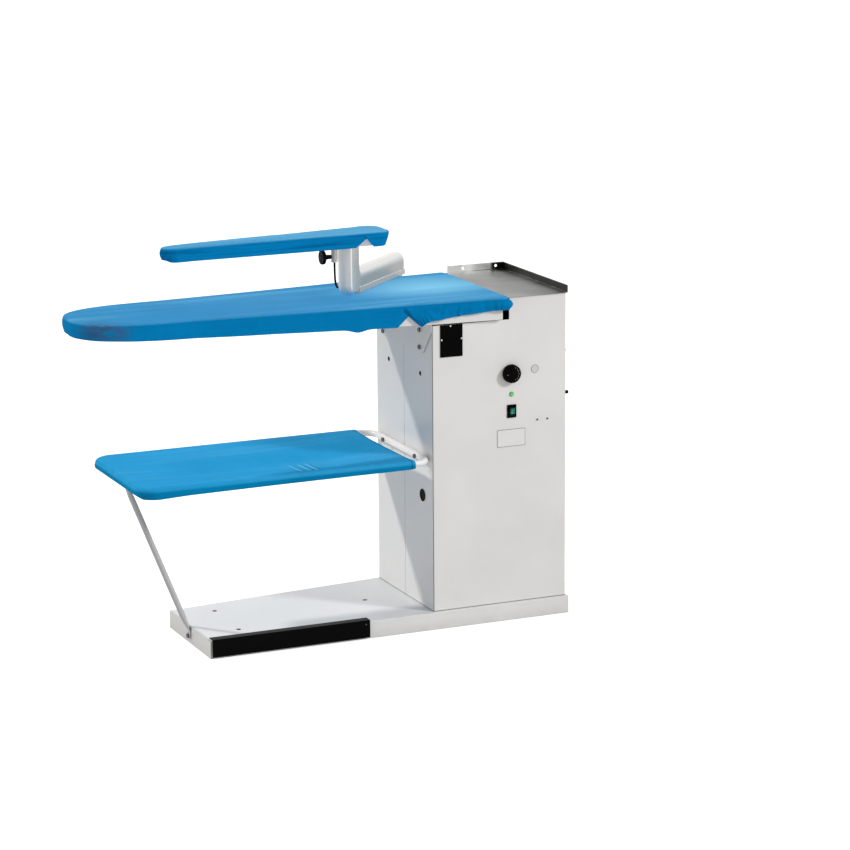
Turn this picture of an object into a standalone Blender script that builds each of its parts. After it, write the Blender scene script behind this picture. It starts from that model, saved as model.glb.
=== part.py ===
"""Vacuum ironing table, modelled piece by piece.

Sizes are in metres. X runs along the board from its nose towards the cabinet, Y from the front
to the back, and Z is up. Every place is worked out from the base pan's front left corner, and
the root empty moves that corner so that the origin lies on the floor under the table's middle.
"""

import math

import bmesh
import bpy
from mathutils import Vector

for old in list(bpy.data.objects):
    bpy.data.objects.remove(old, do_unlink=True)

# Fits shared by all pieces
GAP = 0.0003
OVERRUN = 0.004
FACETS = 20
BOLT_FACETS = 12
SMALL_FACETS = 14
PIPE_FACETS = 16
ARC_STEPS = 4

# Base pan
BASE_LENGTH = 1.093
BASE_LEFT_DEPTH = 0.341
BASE_REAR_MARGIN = 0.002
BASE_HEIGHT = 0.050
BASE_SHEET = 0.002
BASE_HOLE_RADIUS = 0.004
BASE_HOLE_SHARES = ((0.103, 0.197), (0.105, 0.684), (0.498, 0.5))

# Foot pedal
PEDAL_START = 0.003
PEDAL_LENGTH = 0.468
PEDAL_TOP = 0.057
PEDAL_CLEAR_FLOOR = 0.006
PEDAL_STAND_OFF = 0.010
PEDAL_LAP = 0.018
PEDAL_SHEET = 0.0025
PEDAL_ARM_SHARES = (0.18, 0.82)
PEDAL_ARM_THICK = 0.006
PEDAL_ARM_LOW = 0.018
PEDAL_ARM_HIGH = 0.034
PEDAL_ARM_TAIL = 0.050
PEDAL_PIVOT_Y = 0.070
PEDAL_ROD_RADIUS = 0.004
PEDAL_SLOT_SIDE = 0.002
PEDAL_SLOT_RISE = 0.006
PEDAL_BRACKET_SHEET = 0.003
PEDAL_BRACKET_HALF = 0.012
PEDAL_BRACKET_OFFSET = 0.009
PEDAL_ROD_END = 0.003
SPRING_RADIUS = 0.0055
SPRING_WIRE = 0.0008
SPRING_TURNS = 4
SPRING_POINTS = 9
SPRING_SETBACK = 0.025
SWITCH_WIDTH = 0.010
SWITCH_DEPTH = 0.024
SWITCH_HEIGHT = 0.0085
SWITCH_SETBACK = 0.042
PLUNGER_RADIUS = 0.0018
PLUNGER_POCKET = 0.0045
PLUNGER_LENGTH = 0.0058

# Cabinet
CABINET_WIDTH = 0.413
CABINET_DEPTH = 0.399
CABINET_SETBACK = 0.011
CABINET_END_MARGIN = 0.006
CABINET_TOP = 0.933
SHELL_SHEET = 0.0015
SHELL_BEND = 0.004
SEAM_GAP = 0.0008
STEP_LEFT_MARGIN = 0.236
STEP_DROP = 0.004
FRAME_TUBE = 0.020
FRAME_FIT = 0.0015
FRAME_LAP = 0.004
DECK_HEIGHT = 0.430
DECK_SHEET = 0.003
SIDE_HOLE_RADIUS = 0.0055
SIDE_HOLE_HEIGHT = 0.7225
SIDE_HOLE_REAR_SHARE = 0.775
SIDE_HOLE_FRONT_SHARE = 0.212
GROMMET_RADIUS = 0.018
GROMMET_HEIGHT = 0.374
GROMMET_SHARE = 0.180
GROMMET_LIP = 0.0022
GROMMET_MEMBRANE = 0.0012
VENT_ROWS = 6
VENT_LENGTH = 0.070
VENT_WIDTH = 0.006
VENT_PITCH = 0.011

# Board, from the cloth's outside
BOARD_LENGTH = 1.208
BOARD_TOP = 0.939
BOARD_OVERLAP = 0.218
BLUNT_WIDTH = 0.443
BLUNT_CORNER = 0.011
SHOULDER_WIDTH = 0.320
NOSE_LENGTH = 0.307
NOSE_STEPS = 20
NOSE_FULL_SHARE = 0.714
PLENUM_DEPTH = 0.0637
PLENUM_TIP_RISE = 0.0217
PLENUM_SHEET = 0.0015
PLENUM_SETBACK = 0.004
COVER_THICK = 0.002
COVER_FIT = 0.0005
COVER_EDGE = 0.006
EDGE_ROUND_SHARE = 0.3
COVER_TUCK = 0.012
COVER_FREE_TUCK = 0.0035
COVER_DROP = 0.0005
NOTCH_START_BEFORE_CABINET = 0.106
NOTCH_APEX_BEFORE_CABINET = 0.0695
NOTCH_END_BEFORE_CABINET = 0.037
NOTCH_RISE = 0.033
NOTCH_LEAD = 0.010
GATHER_RISE = 0.025
GATHER_WAVE = 0.048
GATHER_DEPTH = 0.0035
GATHER_STEP = 0.012
CORNER_BULGE = 0.016
CORNER_SPREAD = 0.045
PLAIN_STEP = 0.090
PAD_THICK = 0.010
PLATE_THICK = 0.002
PLATE_HOLE_RADIUS = 0.004
PLATE_HOLE_FACETS = 6
PLATE_HOLE_COLUMNS = 10
PLATE_HOLE_ROW_SHARES = (-0.31, 0.0, 0.31)
PLATE_HOLE_SPAN_SHARES = (0.08, 0.94)
HEATER_ROD = 0.004
HEATER_RUNS = 4
HEATER_PITCH = 0.052
HEATER_START_SHARE = 0.20
HEATER_END_SHARE = 0.90

# Board bracket and its bolts
BRACKET_SHEET = 0.003
BRACKET_DEPTH = 0.088
BRACKET_LIP = 0.030
BRACKET_SLANT = 0.055
BRACKET_BOLT_FRONT = 0.079
BRACKET_BOLT_REAR_MARGIN = 0.058
BRACKET_BOLT_DROPS = (0.027, 0.076)
BOLT_SHANK = 0.003
BOLT_HEAD = 0.0065
BOLT_HEAD_HIGH = 0.004
BOLT_CHAMFER = 0.0012
BOLT_GRIP = 0.018

# Suction unit
FAN_SETBACK = 0.141
MOTOR_RADIUS = 0.064
MOTOR_HEIGHT = 0.104
MOTOR_FIN = 0.005
MOTOR_FINS = 4
MOTOR_SPIGOT = 0.020
SHAFT_RADIUS = 0.008
SHAFT_SEAT = 0.030
SCROLL_RADIUS = 0.128
SCROLL_START_SHARE = 0.85
SCROLL_OUTLET = 0.074
SCROLL_HEIGHT = 0.078
SCROLL_SHEET = 0.002
SCROLL_STEPS = 26
SCROLL_SHAFT_HOLE = 0.022
INLET_RADIUS = 0.0484
IMPELLER_RADIUS = 0.100
IMPELLER_EYE = 0.050
IMPELLER_LIFT = 0.006
IMPELLER_DISC = 0.003
IMPELLER_BOSS = 0.018
IMPELLER_BOSS_HIGH = 0.016
BLADES = 9
BLADE_THICK = 0.0018
BLADE_HIGH = 0.050
BLADE_SWEEP = 40.0
BLADE_STEPS = 3
DUCT_RADIUS = 0.050
DUCT_SHEET = 0.0015
CAPACITOR_RADIUS = 0.020
CAPACITOR_HEIGHT = 0.075
CAPACITOR_SHARES = (0.80, 0.22)
FEED_RADIUS = 0.021
FEED_BEND = 0.035

# Iron tray
TRAY_BOARD_GAP = 0.0045
TRAY_WALL_SETBACK = 0.0145
TRAY_PAST_CABINET = 0.004
TRAY_PAST_REAR = 0.028
TRAY_WALL = 0.0214
TRAY_SHEET = 0.0012
TRAY_HOLE_RADIUS = 0.0042
TRAY_HOLE_SHARES = (0.278, 0.864)
TRAY_HOLE_HEIGHT_SHARE = 0.55

# Swivel arm
PIVOT_PAST_CABINET = 0.078
PIVOT_BEHIND_CABINET = 0.038
COLUMN_BEFORE_CABINET = 0.162
COLUMN_BACK_OF_MIDDLE = 0.007
ARM_CLEARANCE = 0.003
ARM_WIDTH = 0.042
ARM_HEIGHT = 0.066
ARM_EDGE = 0.016
ARM_END = 0.027
ARM_FOOT = 0.027
ARM_SHOULDER = 0.030
ARM_CROTCH = 0.010
ARM_SHEET = 0.002
COLUMN_LONG = 0.077
LIP_SHEET = 0.0015
LIP_HEIGHT = 0.016
LIP_END = 0.010
LIP_RUN = 0.005
PIPE_RADIUS = 0.020
PIPE_WALL = 0.002
PIPE_FIT = 0.0003
PIPE_DROP_SHARE = 0.6765
PIPE_RISE = 0.018
COLLAR_RADIUS = 0.0245
COLLAR_HIGH = 0.006
SOCKET_WALL = 0.002
SOCKET_TOP_DROP = 0.027
SOCKET_LIFT = 0.0624
SOCKET_BEND = 0.036
SOCKET_INSIDE = 0.036
BUSH_HIGH = 0.006

# Sleeve board, from the cloth's outside
SLEEVE_TOP = 1.122
SLEEVE_TURN = 4.4
SLEEVE_LENGTH = 0.680
SLEEVE_ROOT = 0.111
SLEEVE_ROOT_WIDTH = 0.116
SLEEVE_ROOT_CORNER = 0.034
SLEEVE_TIP_WIDTH = 0.056
SLEEVE_NOSE = 0.050
SLEEVE_DEPTH = 0.043
SLEEVE_TIP_RISE = 0.010
SLEEVE_LEVEL = 0.070
SLEEVE_PAD = 0.008
SLEEVE_PLATE = 0.0015
SLEEVE_SHELL_SHEET = 0.0012
SLEEVE_SHELL_SETBACK = 0.004
SLEEVE_EDGE = 0.006
SLEEVE_TUCK = 0.008
SLEEVE_NOTCH_START = -0.004
SLEEVE_NOTCH_APEX = 0.029
SLEEVE_NOTCH_END = 0.050
SLEEVE_NOTCH_RISE = 0.024
SLEEVE_STEP = 0.060
SLEEVE_FINE_STEP = 0.020
SLEEVE_HOLES = 9
SLEEVE_HOLE_RADIUS = 0.0035

# Clamp beside the column
CLAMP_ALONG = -0.0271
CLAMP_STAND_OFF = 0.001
CLAMP_TUBE_RADIUS = 0.0095
CLAMP_BORE = 0.0068
CLAMP_TUBE_LENGTH = 0.047
CLAMP_WEB = 0.008
CLAMP_WEB_TALL = 0.030
CLAMP_WEB_SINK_SHARE = 0.6
CLAMP_ROD_RADIUS = 0.0064
CLAMP_ROD_LENGTH = 0.044
CLAMP_KNOB_DROP = 0.0312
CLAMP_SCREW_RADIUS = 0.0032
CLAMP_NECK_RADIUS = 0.006
CLAMP_NECK_LENGTH = 0.019
CLAMP_KNOB_RADIUS = 0.020
CLAMP_KNOB_THICK = 0.012
CLAMP_KNOB_ROUND = 0.003
LEAD_RADIUS = 0.003
LEAD_SWING = 0.007
LEAD_END_DROP = 0.072
LEAD_END_SHARE = 0.75
LEAD_POINTS = 14

# Controls on the front
KNOB_INSET = 0.173
KNOB_Z = 0.717
KNOB_RADIUS = 0.0265
KNOB_THICK = 0.017
KNOB_ROUND = 0.003
KNOB_STAND_OFF = 0.0015
KNOB_FACETS = 28
SPINDLE_RADIUS = 0.003
SPINDLE_REACH = 0.013
THERMOSTAT_SIDE = 0.042
THERMOSTAT_DEPTH = 0.034
LAMP_Z = 0.657
LAMP_RADIUS = 0.0068
LAMP_PROUD = 0.004
LAMP_DOME_SHARES = ((1.0, 0.333333), (0.85, 0.75), (0.4, 1.0))
LAMP_STEM = 0.0052
LAMP_STEM_LONG = 0.022
SWITCH_INSET = 0.170
SWITCH_Z = 0.608
BEZEL_WIDE = 0.028
BEZEL_TALL = 0.037
BEZEL_PROUD = 0.003
BEZEL_RIM = 0.0045
BEZEL_BODY = 0.024
BEZEL_BODY_INSET = 0.002
BEZEL_POCKET = 0.010
ROCKER_FIT = 0.0008
ROCKER_TILT = 9.0
ROCKER_PROUD = 0.0035
ROCKER_BODY = 0.0065
ROCKER_END_SHARE = 0.9
ACCESSORY_INSET = 0.024
ACCESSORY_WIDE = 0.068
ACCESSORY_TALL = 0.091
ACCESSORY_THICK = 0.002
PORT_SETBACK = 0.030
PLUG_Z = 0.764
PLUG_RADIUS = 0.008
PLUG_PROUD = 0.012
PLUG_STEM = 0.006
PLUG_DOME_SHARES = ((1.0, 0.75), (0.7, 1.0))
GLAND_Z = 0.640
GLAND_RADIUS = 0.0085
GLAND_NOSE = 0.005
GLAND_PROUD = 0.021
GLAND_NUT_SHARE = 0.4
GLAND_NECK_SHARE = 0.45
GLAND_STEM = 0.006
PORT_GRIP = 0.012

# Lower tray
LOWER_TUBE = 0.0095
LOWER_AXIS_Z = 0.487
LOWER_LEFT = -0.180
LOWER_FRONT_MARGIN = 0.0061
LOWER_REAR_MARGIN = 0.0173
LOWER_BEND = 0.048
LOWER_CLOTH_GAP = 0.069
LOWER_BEND_STEPS = 7
LOWER_CLOTH_SAG = 0.009
LOWER_CLOTH_SAG_SHARES = ((0.86, 0.45), (0.55, 1.0))
LOWER_CLOTH_TUCK = 0.0115
LOWER_CLOTH_HANG = 0.006
LOWER_CLOTH_STEP = 0.060
LOWER_CLOTH_EDGE = 0.0065
LOWER_BOLT_FRONT = 0.082
LOWER_BOLT_REAR_MARGIN = 0.090
STRUT_RADIUS = 0.009
STRUT_FLAT = 0.002
STRUT_FLARE = 0.013
STRUT_FACETS = 14
STRUT_LOW_Y = 0.171
STRUT_HIGH_Y = 0.192
STRUT_BOLT_Z = 0.022
STRUT_BOLT_GRIP = 0.012
STRUT_STRAIGHT_SHARE = 0.035
STRUT_END_SHARES = ((-0.0125, 1.0), (0.012, 1.0), (0.035, 1.0), (0.075, 0.35), (0.12, 0.0))

# Places worked out from the sizes above
CAB_RIGHT = BASE_LENGTH - CABINET_END_MARGIN
CAB_LEFT = CAB_RIGHT - CABINET_WIDTH
CAB_FRONT = CABINET_SETBACK
CAB_REAR = CAB_FRONT + CABINET_DEPTH
CAB_MIDDLE = (CAB_FRONT + CAB_REAR) / 2
BASE_DEPTH = CAB_REAR + BASE_REAR_MARGIN
BOARD_MIDDLE = CAB_MIDDLE
BOARD_END = CAB_LEFT + BOARD_OVERLAP
BOARD_TIP = BOARD_END - BOARD_LENGTH
NOTCH_START = CAB_LEFT - NOTCH_START_BEFORE_CABINET
NOTCH_APEX = CAB_LEFT - NOTCH_APEX_BEFORE_CABINET
NOTCH_END = CAB_LEFT - NOTCH_END_BEFORE_CABINET
TRAY_START = BOARD_END + TRAY_BOARD_GAP
TRAY_WALL_START = TRAY_START + TRAY_WALL_SETBACK
TRAY_END = CAB_RIGHT + TRAY_PAST_CABINET
TRAY_FRONT = CAB_FRONT - TRAY_PAST_CABINET
TRAY_REAR = CAB_REAR + TRAY_PAST_REAR
PLENUM_FLOOR = BOARD_TOP - PLENUM_DEPTH
SHELL_BASE = BASE_HEIGHT + GAP
STEP_X = CAB_LEFT + STEP_LEFT_MARGIN
STEP_TOP = PLENUM_FLOOR - STEP_DROP
PAD_TOP = BOARD_TOP - COVER_THICK - GAP
PAD_FLOOR = PAD_TOP - PAD_THICK
PLATE_TOP = PAD_FLOOR - GAP
PLATE_FLOOR = PLATE_TOP - PLATE_THICK
PLENUM_RIM = PLATE_FLOOR - GAP
UNDER_COVER = COVER_THICK + COVER_FIT
LOWER_RIGHT = CAB_LEFT - GAP - LOWER_TUBE
LOWER_FRONT = CAB_FRONT - LOWER_FRONT_MARGIN
LOWER_REAR = CAB_REAR + LOWER_REAR_MARGIN
LOWER_CLOTH_END = CAB_LEFT - LOWER_CLOTH_GAP
KNOB_X = CAB_RIGHT - KNOB_INSET
SWITCH_X = CAB_RIGHT - SWITCH_INSET
LAMP_X = SWITCH_X
ACCESSORY_X = CAB_LEFT + ACCESSORY_INSET
ARM_BOTTOM = BOARD_TOP + ARM_CLEARANCE
PIVOT_X = CAB_LEFT + PIVOT_PAST_CABINET
PIVOT = Vector((PIVOT_X, CAB_REAR + PIVOT_BEHIND_CABINET, 0))
COLUMN = Vector((CAB_LEFT - COLUMN_BEFORE_CABINET, BOARD_MIDDLE + COLUMN_BACK_OF_MIDDLE, 0))
ARM_REACH = (PIVOT - COLUMN).length
ALONG = (PIVOT - COLUMN).normalized()
ACROSS = Vector((ALONG.y, -ALONG.x, 0))
SLEEVE_SHELL_FLOOR = SLEEVE_TOP - SLEEVE_DEPTH + COVER_THICK + GAP
COLUMN_TOP = SLEEVE_SHELL_FLOOR - GAP
SOCKET_TOP = PLENUM_FLOOR - SOCKET_TOP_DROP
SOCKET_RADIUS = PIPE_RADIUS + PIPE_FIT + SOCKET_WALL
FAN = Vector((CAB_LEFT + FAN_SETBACK, CAB_MIDDLE, 0))
MOTOR_FOOT = DECK_HEIGHT + DECK_SHEET + 2 * GAP
SCROLL_FLOOR = MOTOR_FOOT + MOTOR_HEIGHT + GAP
SCROLL_LID = SCROLL_FLOOR + SCROLL_HEIGHT
UP = Vector((0, 0, 1))
EAST = Vector((1, 0, 0))
NORTH = Vector((0, 1, 0))


# Finishes
def finish(name, colour, roughness, metallic=0.0):
    """A Principled material with one colour, roughness and metallic value."""
    material = bpy.data.materials.new(name)
    material.use_nodes = True
    shader = material.node_tree.nodes["Principled BSDF"]
    shader.inputs["Base Color"].default_value = (*colour, 1.0)
    shader.inputs["Roughness"].default_value = roughness
    shader.inputs["Metallic"].default_value = metallic
    material.diffuse_color = (*colour, 1.0)
    return material


WHITE_PAINT = finish("white_paint", (0.80, 0.80, 0.80), 0.42)
GREY_PAINT = finish("grey_paint", (0.56, 0.56, 0.56), 0.38)
BLACK_PAINT = finish("black_paint", (0.012, 0.012, 0.013), 0.45)
BRUSHED_STEEL = finish("brushed_steel", (0.52, 0.52, 0.51), 0.30, 1.0)
PLATED_STEEL = finish("plated_steel", (0.60, 0.60, 0.60), 0.32, 1.0)
GREY_CASTING = finish("grey_casting", (0.36, 0.37, 0.38), 0.5, 0.6)
BLUE_CLOTH = finish("blue_cloth", (0.012, 0.235, 0.56), 0.85)
FOAM = finish("foam", (0.72, 0.66, 0.52), 0.95)
BLACK_PLASTIC = finish("black_plastic", (0.010, 0.010, 0.011), 0.35)
BLACK_RUBBER = finish("black_rubber", (0.010, 0.010, 0.010), 0.8)
PALE_PLASTIC = finish("pale_plastic", (0.60, 0.60, 0.59), 0.4)
GREEN_LENS = finish("green_lens", (0.05, 0.62, 0.08), 0.15)
GREEN_ROCKER = finish("green_rocker", (0.005, 0.17, 0.11), 0.2)


# Empties that place whole groups
def empty(name, place, parent=None, turn=0.0):
    """An empty that other pieces are placed by."""
    holder = bpy.data.objects.new(name, None)
    holder.location = place
    holder.rotation_euler = (0, 0, turn)
    holder.parent = parent
    bpy.context.scene.collection.objects.link(holder)
    return holder


ROOT = empty("table_origin", (0, 0, 0))
ARM_PIVOT = empty("arm_pivot", PIVOT, ROOT)
SLEEVE_SEAT = empty("sleeve_seat", COLUMN - PIVOT, ARM_PIVOT, math.radians(SLEEVE_TURN))


# Shapes
def put(name, shape, material, parent=None, origin=None, smooth=False):
    """Makes an object of a bmesh, its mesh moved so that its own origin lies at the given place."""
    place = Vector(origin) if origin is not None else Vector()
    bmesh.ops.recalc_face_normals(shape, faces=shape.faces)
    for vertex in shape.verts:
        vertex.co -= place
    mesh = bpy.data.meshes.new(name)
    shape.to_mesh(mesh)
    shape.free()
    if smooth:
        mesh.shade_smooth()
        mesh.set_sharp_from_angle(angle=math.radians(35))
    mesh.materials.append(material)
    made = bpy.data.objects.new(name, mesh)
    made.parent = parent or ROOT
    made.location = place
    bpy.context.scene.collection.objects.link(made)
    return made


def skin(rings, loop=False, shape=None):
    """Faces between rings of as many points each, closed by caps or by joining last to first."""
    shape = shape or bmesh.new()
    rows = [[shape.verts.new(point) for point in ring] for ring in rings]
    count = len(rings[0])
    pairs = list(zip(rows, rows[1:]))
    if loop:
        pairs.append((rows[-1], rows[0]))
    for low, high in pairs:
        for i in range(count):
            j = (i + 1) % count
            shape.faces.new((low[i], low[j], high[j], high[i]))
    if not loop:
        shape.faces.new(rows[0])
        shape.faces.new(rows[-1])
    return shape


def at_height(outline, z):
    """The points of a plan outline at one height."""
    return [Vector((x, y, z)) for x, y in outline]


def rounded(points, radii, steps=ARC_STEPS):
    """A plan outline with each corner made an arc of its own radius."""
    made = []
    count = len(points)
    for i, radius in enumerate(radii):
        corner = Vector(points[i])
        before = Vector(points[i - 1]) - corner
        after = Vector(points[(i + 1) % count]) - corner
        if radius <= 0:
            made.append(tuple(corner))
            continue
        half = before.angle(after) / 2
        reach = radius / math.tan(half)
        start = corner + before.normalized() * reach
        end = corner + after.normalized() * reach
        inward = before.normalized() + after.normalized()
        centre = corner + inward.normalized() * (radius / math.sin(half))
        first = start - centre
        last = end - centre
        sweep = first.angle_signed(last)
        for k in range(steps + 1):
            angle = -sweep * k / steps
            turned = Vector((first.x * math.cos(angle) - first.y * math.sin(angle),
                             first.x * math.sin(angle) + first.y * math.cos(angle)))
            made.append(tuple(centre + turned))
    return made


def inset(outline, distance):
    """A counter-clockwise outline with every edge moved inwards."""
    made = []
    count = len(outline)
    for i in range(count):
        here = Vector(outline[i])
        back = (here - Vector(outline[i - 1])).normalized()
        ahead = (Vector(outline[(i + 1) % count]) - here).normalized()
        first = Vector((-back.y, back.x))
        second = Vector((-ahead.y, ahead.x))
        share = 1 + first.dot(second)
        made.append(tuple(here + (first + second) * (distance / share)))
    return made


def rectangle(low_x, low_y, high_x, high_y):
    """The corners of a rectangle, counter-clockwise."""
    return [(low_x, low_y), (high_x, low_y), (high_x, high_y), (low_x, high_y)]


def prism(outline, low, high, shape=None):
    """A solid between two heights."""
    return skin([at_height(outline, low), at_height(outline, high)], shape=shape)


def block(low, high, shape=None):
    """A box between two corners."""
    return prism(rectangle(low[0], low[1], high[0], high[1]), low[2], high[2], shape)


def padding(outline, floor, top, edge):
    """A pad whose upper edge is taken off all round, to lie under a rounded cover."""
    slope = edge - COVER_THICK
    drawn = inset(outline, slope)
    return skin([at_height(outline, floor), at_height(outline, top - slope), at_height(drawn, top)])


def pan(outline, floor, rim, sheet):
    """A folded sheet pan, closed at its floor and open at its rim."""
    inside = inset(outline, sheet)
    lift = math.copysign(sheet, rim - floor)
    return skin([at_height(outline, floor), at_height(outline, rim),
                 at_height(inside, rim), at_height(inside, floor + lift)])


def frame_of(axis):
    """Two directions square to an axis."""
    side = UP if abs(axis.z) < 0.9 else EAST
    first = axis.cross(side).normalized()
    return first, axis.cross(first).normalized()


def circle(centre, axis, radius, facets=FACETS):
    """The points of a circle about an axis."""
    first, second = frame_of(axis)
    angles = [2 * math.pi * k / facets for k in range(facets)]
    return [centre + first * (radius * math.cos(a)) + second * (radius * math.sin(a)) for a in angles]


def turned(profile, base, axis, loop=False, facets=FACETS, shape=None):
    """A shape turned about an axis from a profile of radii and heights above its base."""
    rings = [circle(Vector(base) + axis * height, axis, radius, facets) for radius, height in profile]
    return skin(rings, loop, shape)


def path_rings(points, radius, facets, closed=False):
    """Circles square to a path, none twisted against the one before."""
    count = len(points)
    rings = []
    side = None
    for i, point in enumerate(points):
        before = points[i - 1] if closed or i else point
        after = points[(i + 1) % count] if closed or i < count - 1 else point
        tangent = (after - before).normalized()
        if side is None:
            side = frame_of(tangent)[0]
        side = (side - tangent * side.dot(tangent)).normalized()
        other = tangent.cross(side)
        angles = [2 * math.pi * k / facets for k in range(facets)]
        rings.append([point + side * (radius * math.cos(a)) + other * (radius * math.sin(a))
                      for a in angles])
    return rings


def bent(points, radius, steps=5):
    """A path with each inner corner made an arc."""
    made = [points[0]]
    for before, corner, after in zip(points, points[1:], points[2:]):
        back = (before - corner).normalized()
        ahead = (after - corner).normalized()
        half = back.angle(ahead) / 2
        reach = radius / math.tan(half)
        start = corner + back * reach
        centre = corner + (back + ahead).normalized() * (radius / math.sin(half))
        first = start - centre
        normal = first.cross(corner + ahead * reach - centre).normalized()
        for k in range(steps + 1):
            angle = (math.pi - 2 * half) * k / steps
            made.append(centre + first * math.cos(angle) + normal.cross(first) * math.sin(angle))
    made.append(points[-1])
    return made


def pipe(points, radius, wall, facets=PIPE_FACETS):
    """A hollow pipe along a path, open at both ends."""
    outer = path_rings(points, radius, facets)
    inner = path_rings(points, radius - wall, facets)
    return skin(outer + inner[::-1], loop=True)


def cutter(name, shape, parent=None):
    """A hidden shape that a Boolean takes away."""
    tool = put(name, shape, BLACK_PAINT, parent)
    tool.hide_render = True
    tool.display_type = "WIRE"
    return tool


def cut(target, shape, parent=None):
    """Takes a shape away from a piece."""
    number = len(target.modifiers)
    modifier = target.modifiers.new(f"cut_{number}", "BOOLEAN")
    modifier.operation = "DIFFERENCE"
    modifier.solver = "EXACT"
    modifier.object = cutter(f"cutter_{target.name}_{number}", shape, parent or target.parent)


def join(target, shape, parent=None):
    """Welds a shape on to a piece."""
    number = len(target.modifiers)
    modifier = target.modifiers.new(f"weld_{number}", "BOOLEAN")
    modifier.operation = "UNION"
    modifier.solver = "EXACT"
    modifier.object = cutter(f"weld_{target.name}_{number}", shape, parent or target.parent)


def hole(centre, axis, radius, length, shape=None, facets=FACETS):
    """A round cutter centred on a place."""
    start = Vector(centre) - axis * (length / 2)
    return turned([(radius, 0), (radius, length)], start, axis, facets=facets, shape=shape)


def bolt(name, seat, axis, grip, parent=None):
    """A round-headed bolt whose head sits just off a face and whose shank runs into it."""
    head = Vector(seat) + axis * GAP
    profile = [(BOLT_SHANK, -grip), (BOLT_SHANK, 0), (BOLT_HEAD, 0),
               (BOLT_HEAD, BOLT_HEAD_HIGH - BOLT_CHAMFER), (BOLT_HEAD - BOLT_CHAMFER, BOLT_HEAD_HIGH)]
    return put(name, turned(profile, head, axis, facets=BOLT_FACETS), PLATED_STEEL, parent, smooth=True)


def bolt_hole(seat, axis, shape=None):
    """The clearance hole of a bolt."""
    return hole(seat, axis, BOLT_SHANK + GAP, 2 * BOLT_GRIP, shape, BOLT_FACETS)


# Outlines of the two boards
def board_outline(margin):
    """The ironing board's plan, drawn in by a margin: tapered sides and a full, rounded nose."""
    shoulder = BOARD_TIP + NOSE_LENGTH
    wide = BLUNT_WIDTH / 2 - margin
    narrow = SHOULDER_WIDTH / 2 - margin
    end = BOARD_END - margin
    corner = max(BLUNT_CORNER - margin, margin)
    points = [(shoulder, -narrow), (end, -wide), (end, wide), (shoulder, narrow)]
    made = rounded(points, [0, corner, corner, 0])
    for k in range(1, NOSE_STEPS):
        angle = math.pi / 2 + math.pi * k / NOSE_STEPS
        ahead = abs(math.cos(angle)) ** NOSE_FULL_SHARE
        aside = math.copysign(abs(math.sin(angle)) ** NOSE_FULL_SHARE, math.sin(angle))
        made.append((shoulder - (NOSE_LENGTH - margin) * ahead, narrow * aside))
    return [(x, y + BOARD_MIDDLE) for x, y in made]


def sleeve_outline(margin):
    """The sleeve board's plan about the column, drawn in by a margin."""
    root = SLEEVE_ROOT - margin
    nose = SLEEVE_ROOT - SLEEVE_LENGTH + SLEEVE_NOSE
    wide = SLEEVE_ROOT_WIDTH / 2 - margin
    narrow = SLEEVE_TIP_WIDTH / 2 - margin
    corner = SLEEVE_ROOT_CORNER - margin
    made = rounded([(nose, -narrow), (root, -wide), (root, wide), (nose, narrow)], [0, corner, corner, 0])
    steps = NOSE_STEPS // 2
    for k in range(1, steps):
        angle = math.pi / 2 + math.pi * k / steps
        made.append((nose + (SLEEVE_NOSE - margin) * math.cos(angle), narrow * math.sin(angle)))
    return made


def split(start, end, breaks):
    """The points that divide a run where it passes the given places along X."""
    run = end - start
    shares = [(x - start.x) / run.x for x in breaks if abs(run.x) > GAP]
    inside = sorted(share for share in shares if 0 < share < 1)
    return [start] + [start + run * share for share in inside] + [end]


def stations(outline, breaks, spacing):
    """Points round an outline, no further apart than the spacing asks, with their outward normals."""
    points = []
    for i, here in enumerate(outline):
        marks = split(Vector(here), Vector(outline[(i + 1) % len(outline)]), breaks)
        for start, end in zip(marks, marks[1:]):
            run = end - start
            pieces = max(1, math.ceil(run.length / spacing(start + run / 2)))
            points += [start + run * (k / pieces) for k in range(pieces)]
    made = []
    for i, point in enumerate(points):
        run = points[(i + 1) % len(points)] - points[i - 1]
        made.append((point, Vector((run.y, -run.x)).normalized()))
    return made


def cloth(places, profile):
    """A closed cloth body: one ring round the places for each offset and height of its profile."""
    return skin([[Vector((*(point - normal * offset(point)), height(point))) for point, normal in places]
                 for offset, height in profile])


def level(value):
    """A size that is the same all round."""
    return lambda point: value


def cover(places, top, edge, hem, tuck, ripple):
    """A cover: a top sheet, a rounded edge, a skirt to its hem and a tuck under it.

    hem, tuck and ripple give each place its hem height, how far it is drawn in below, and how
    far its hem stands out.
    """
    thick = COVER_THICK
    return cloth(places, [(level(edge), level(top)),
                          (level(edge * EDGE_ROUND_SHARE), level(top - edge * EDGE_ROUND_SHARE)),
                          (level(0), level(top - edge)),
                          (lambda p: -ripple(p), hem),
                          (tuck, hem),
                          (tuck, lambda p: hem(p) + thick),
                          (lambda p: thick - ripple(p), lambda p: hem(p) + thick),
                          (level(thick), level(top - max(edge, thick))),
                          (level(edge), level(top - thick))])


# Base and pedal
def base_outline():
    """The pan's plan: straight in front, drawn in towards the left end at the back."""
    right = [(BASE_LENGTH, 0), (BASE_LENGTH, BASE_DEPTH)]
    return [(0, 0)] + right + [(CAB_LEFT, BASE_DEPTH), (0, BASE_LEFT_DEPTH)]


def pedal_arm_places():
    """Where the pedal's two arms stand along the base."""
    return [PEDAL_START + PEDAL_LENGTH * share for share in PEDAL_ARM_SHARES]


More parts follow.
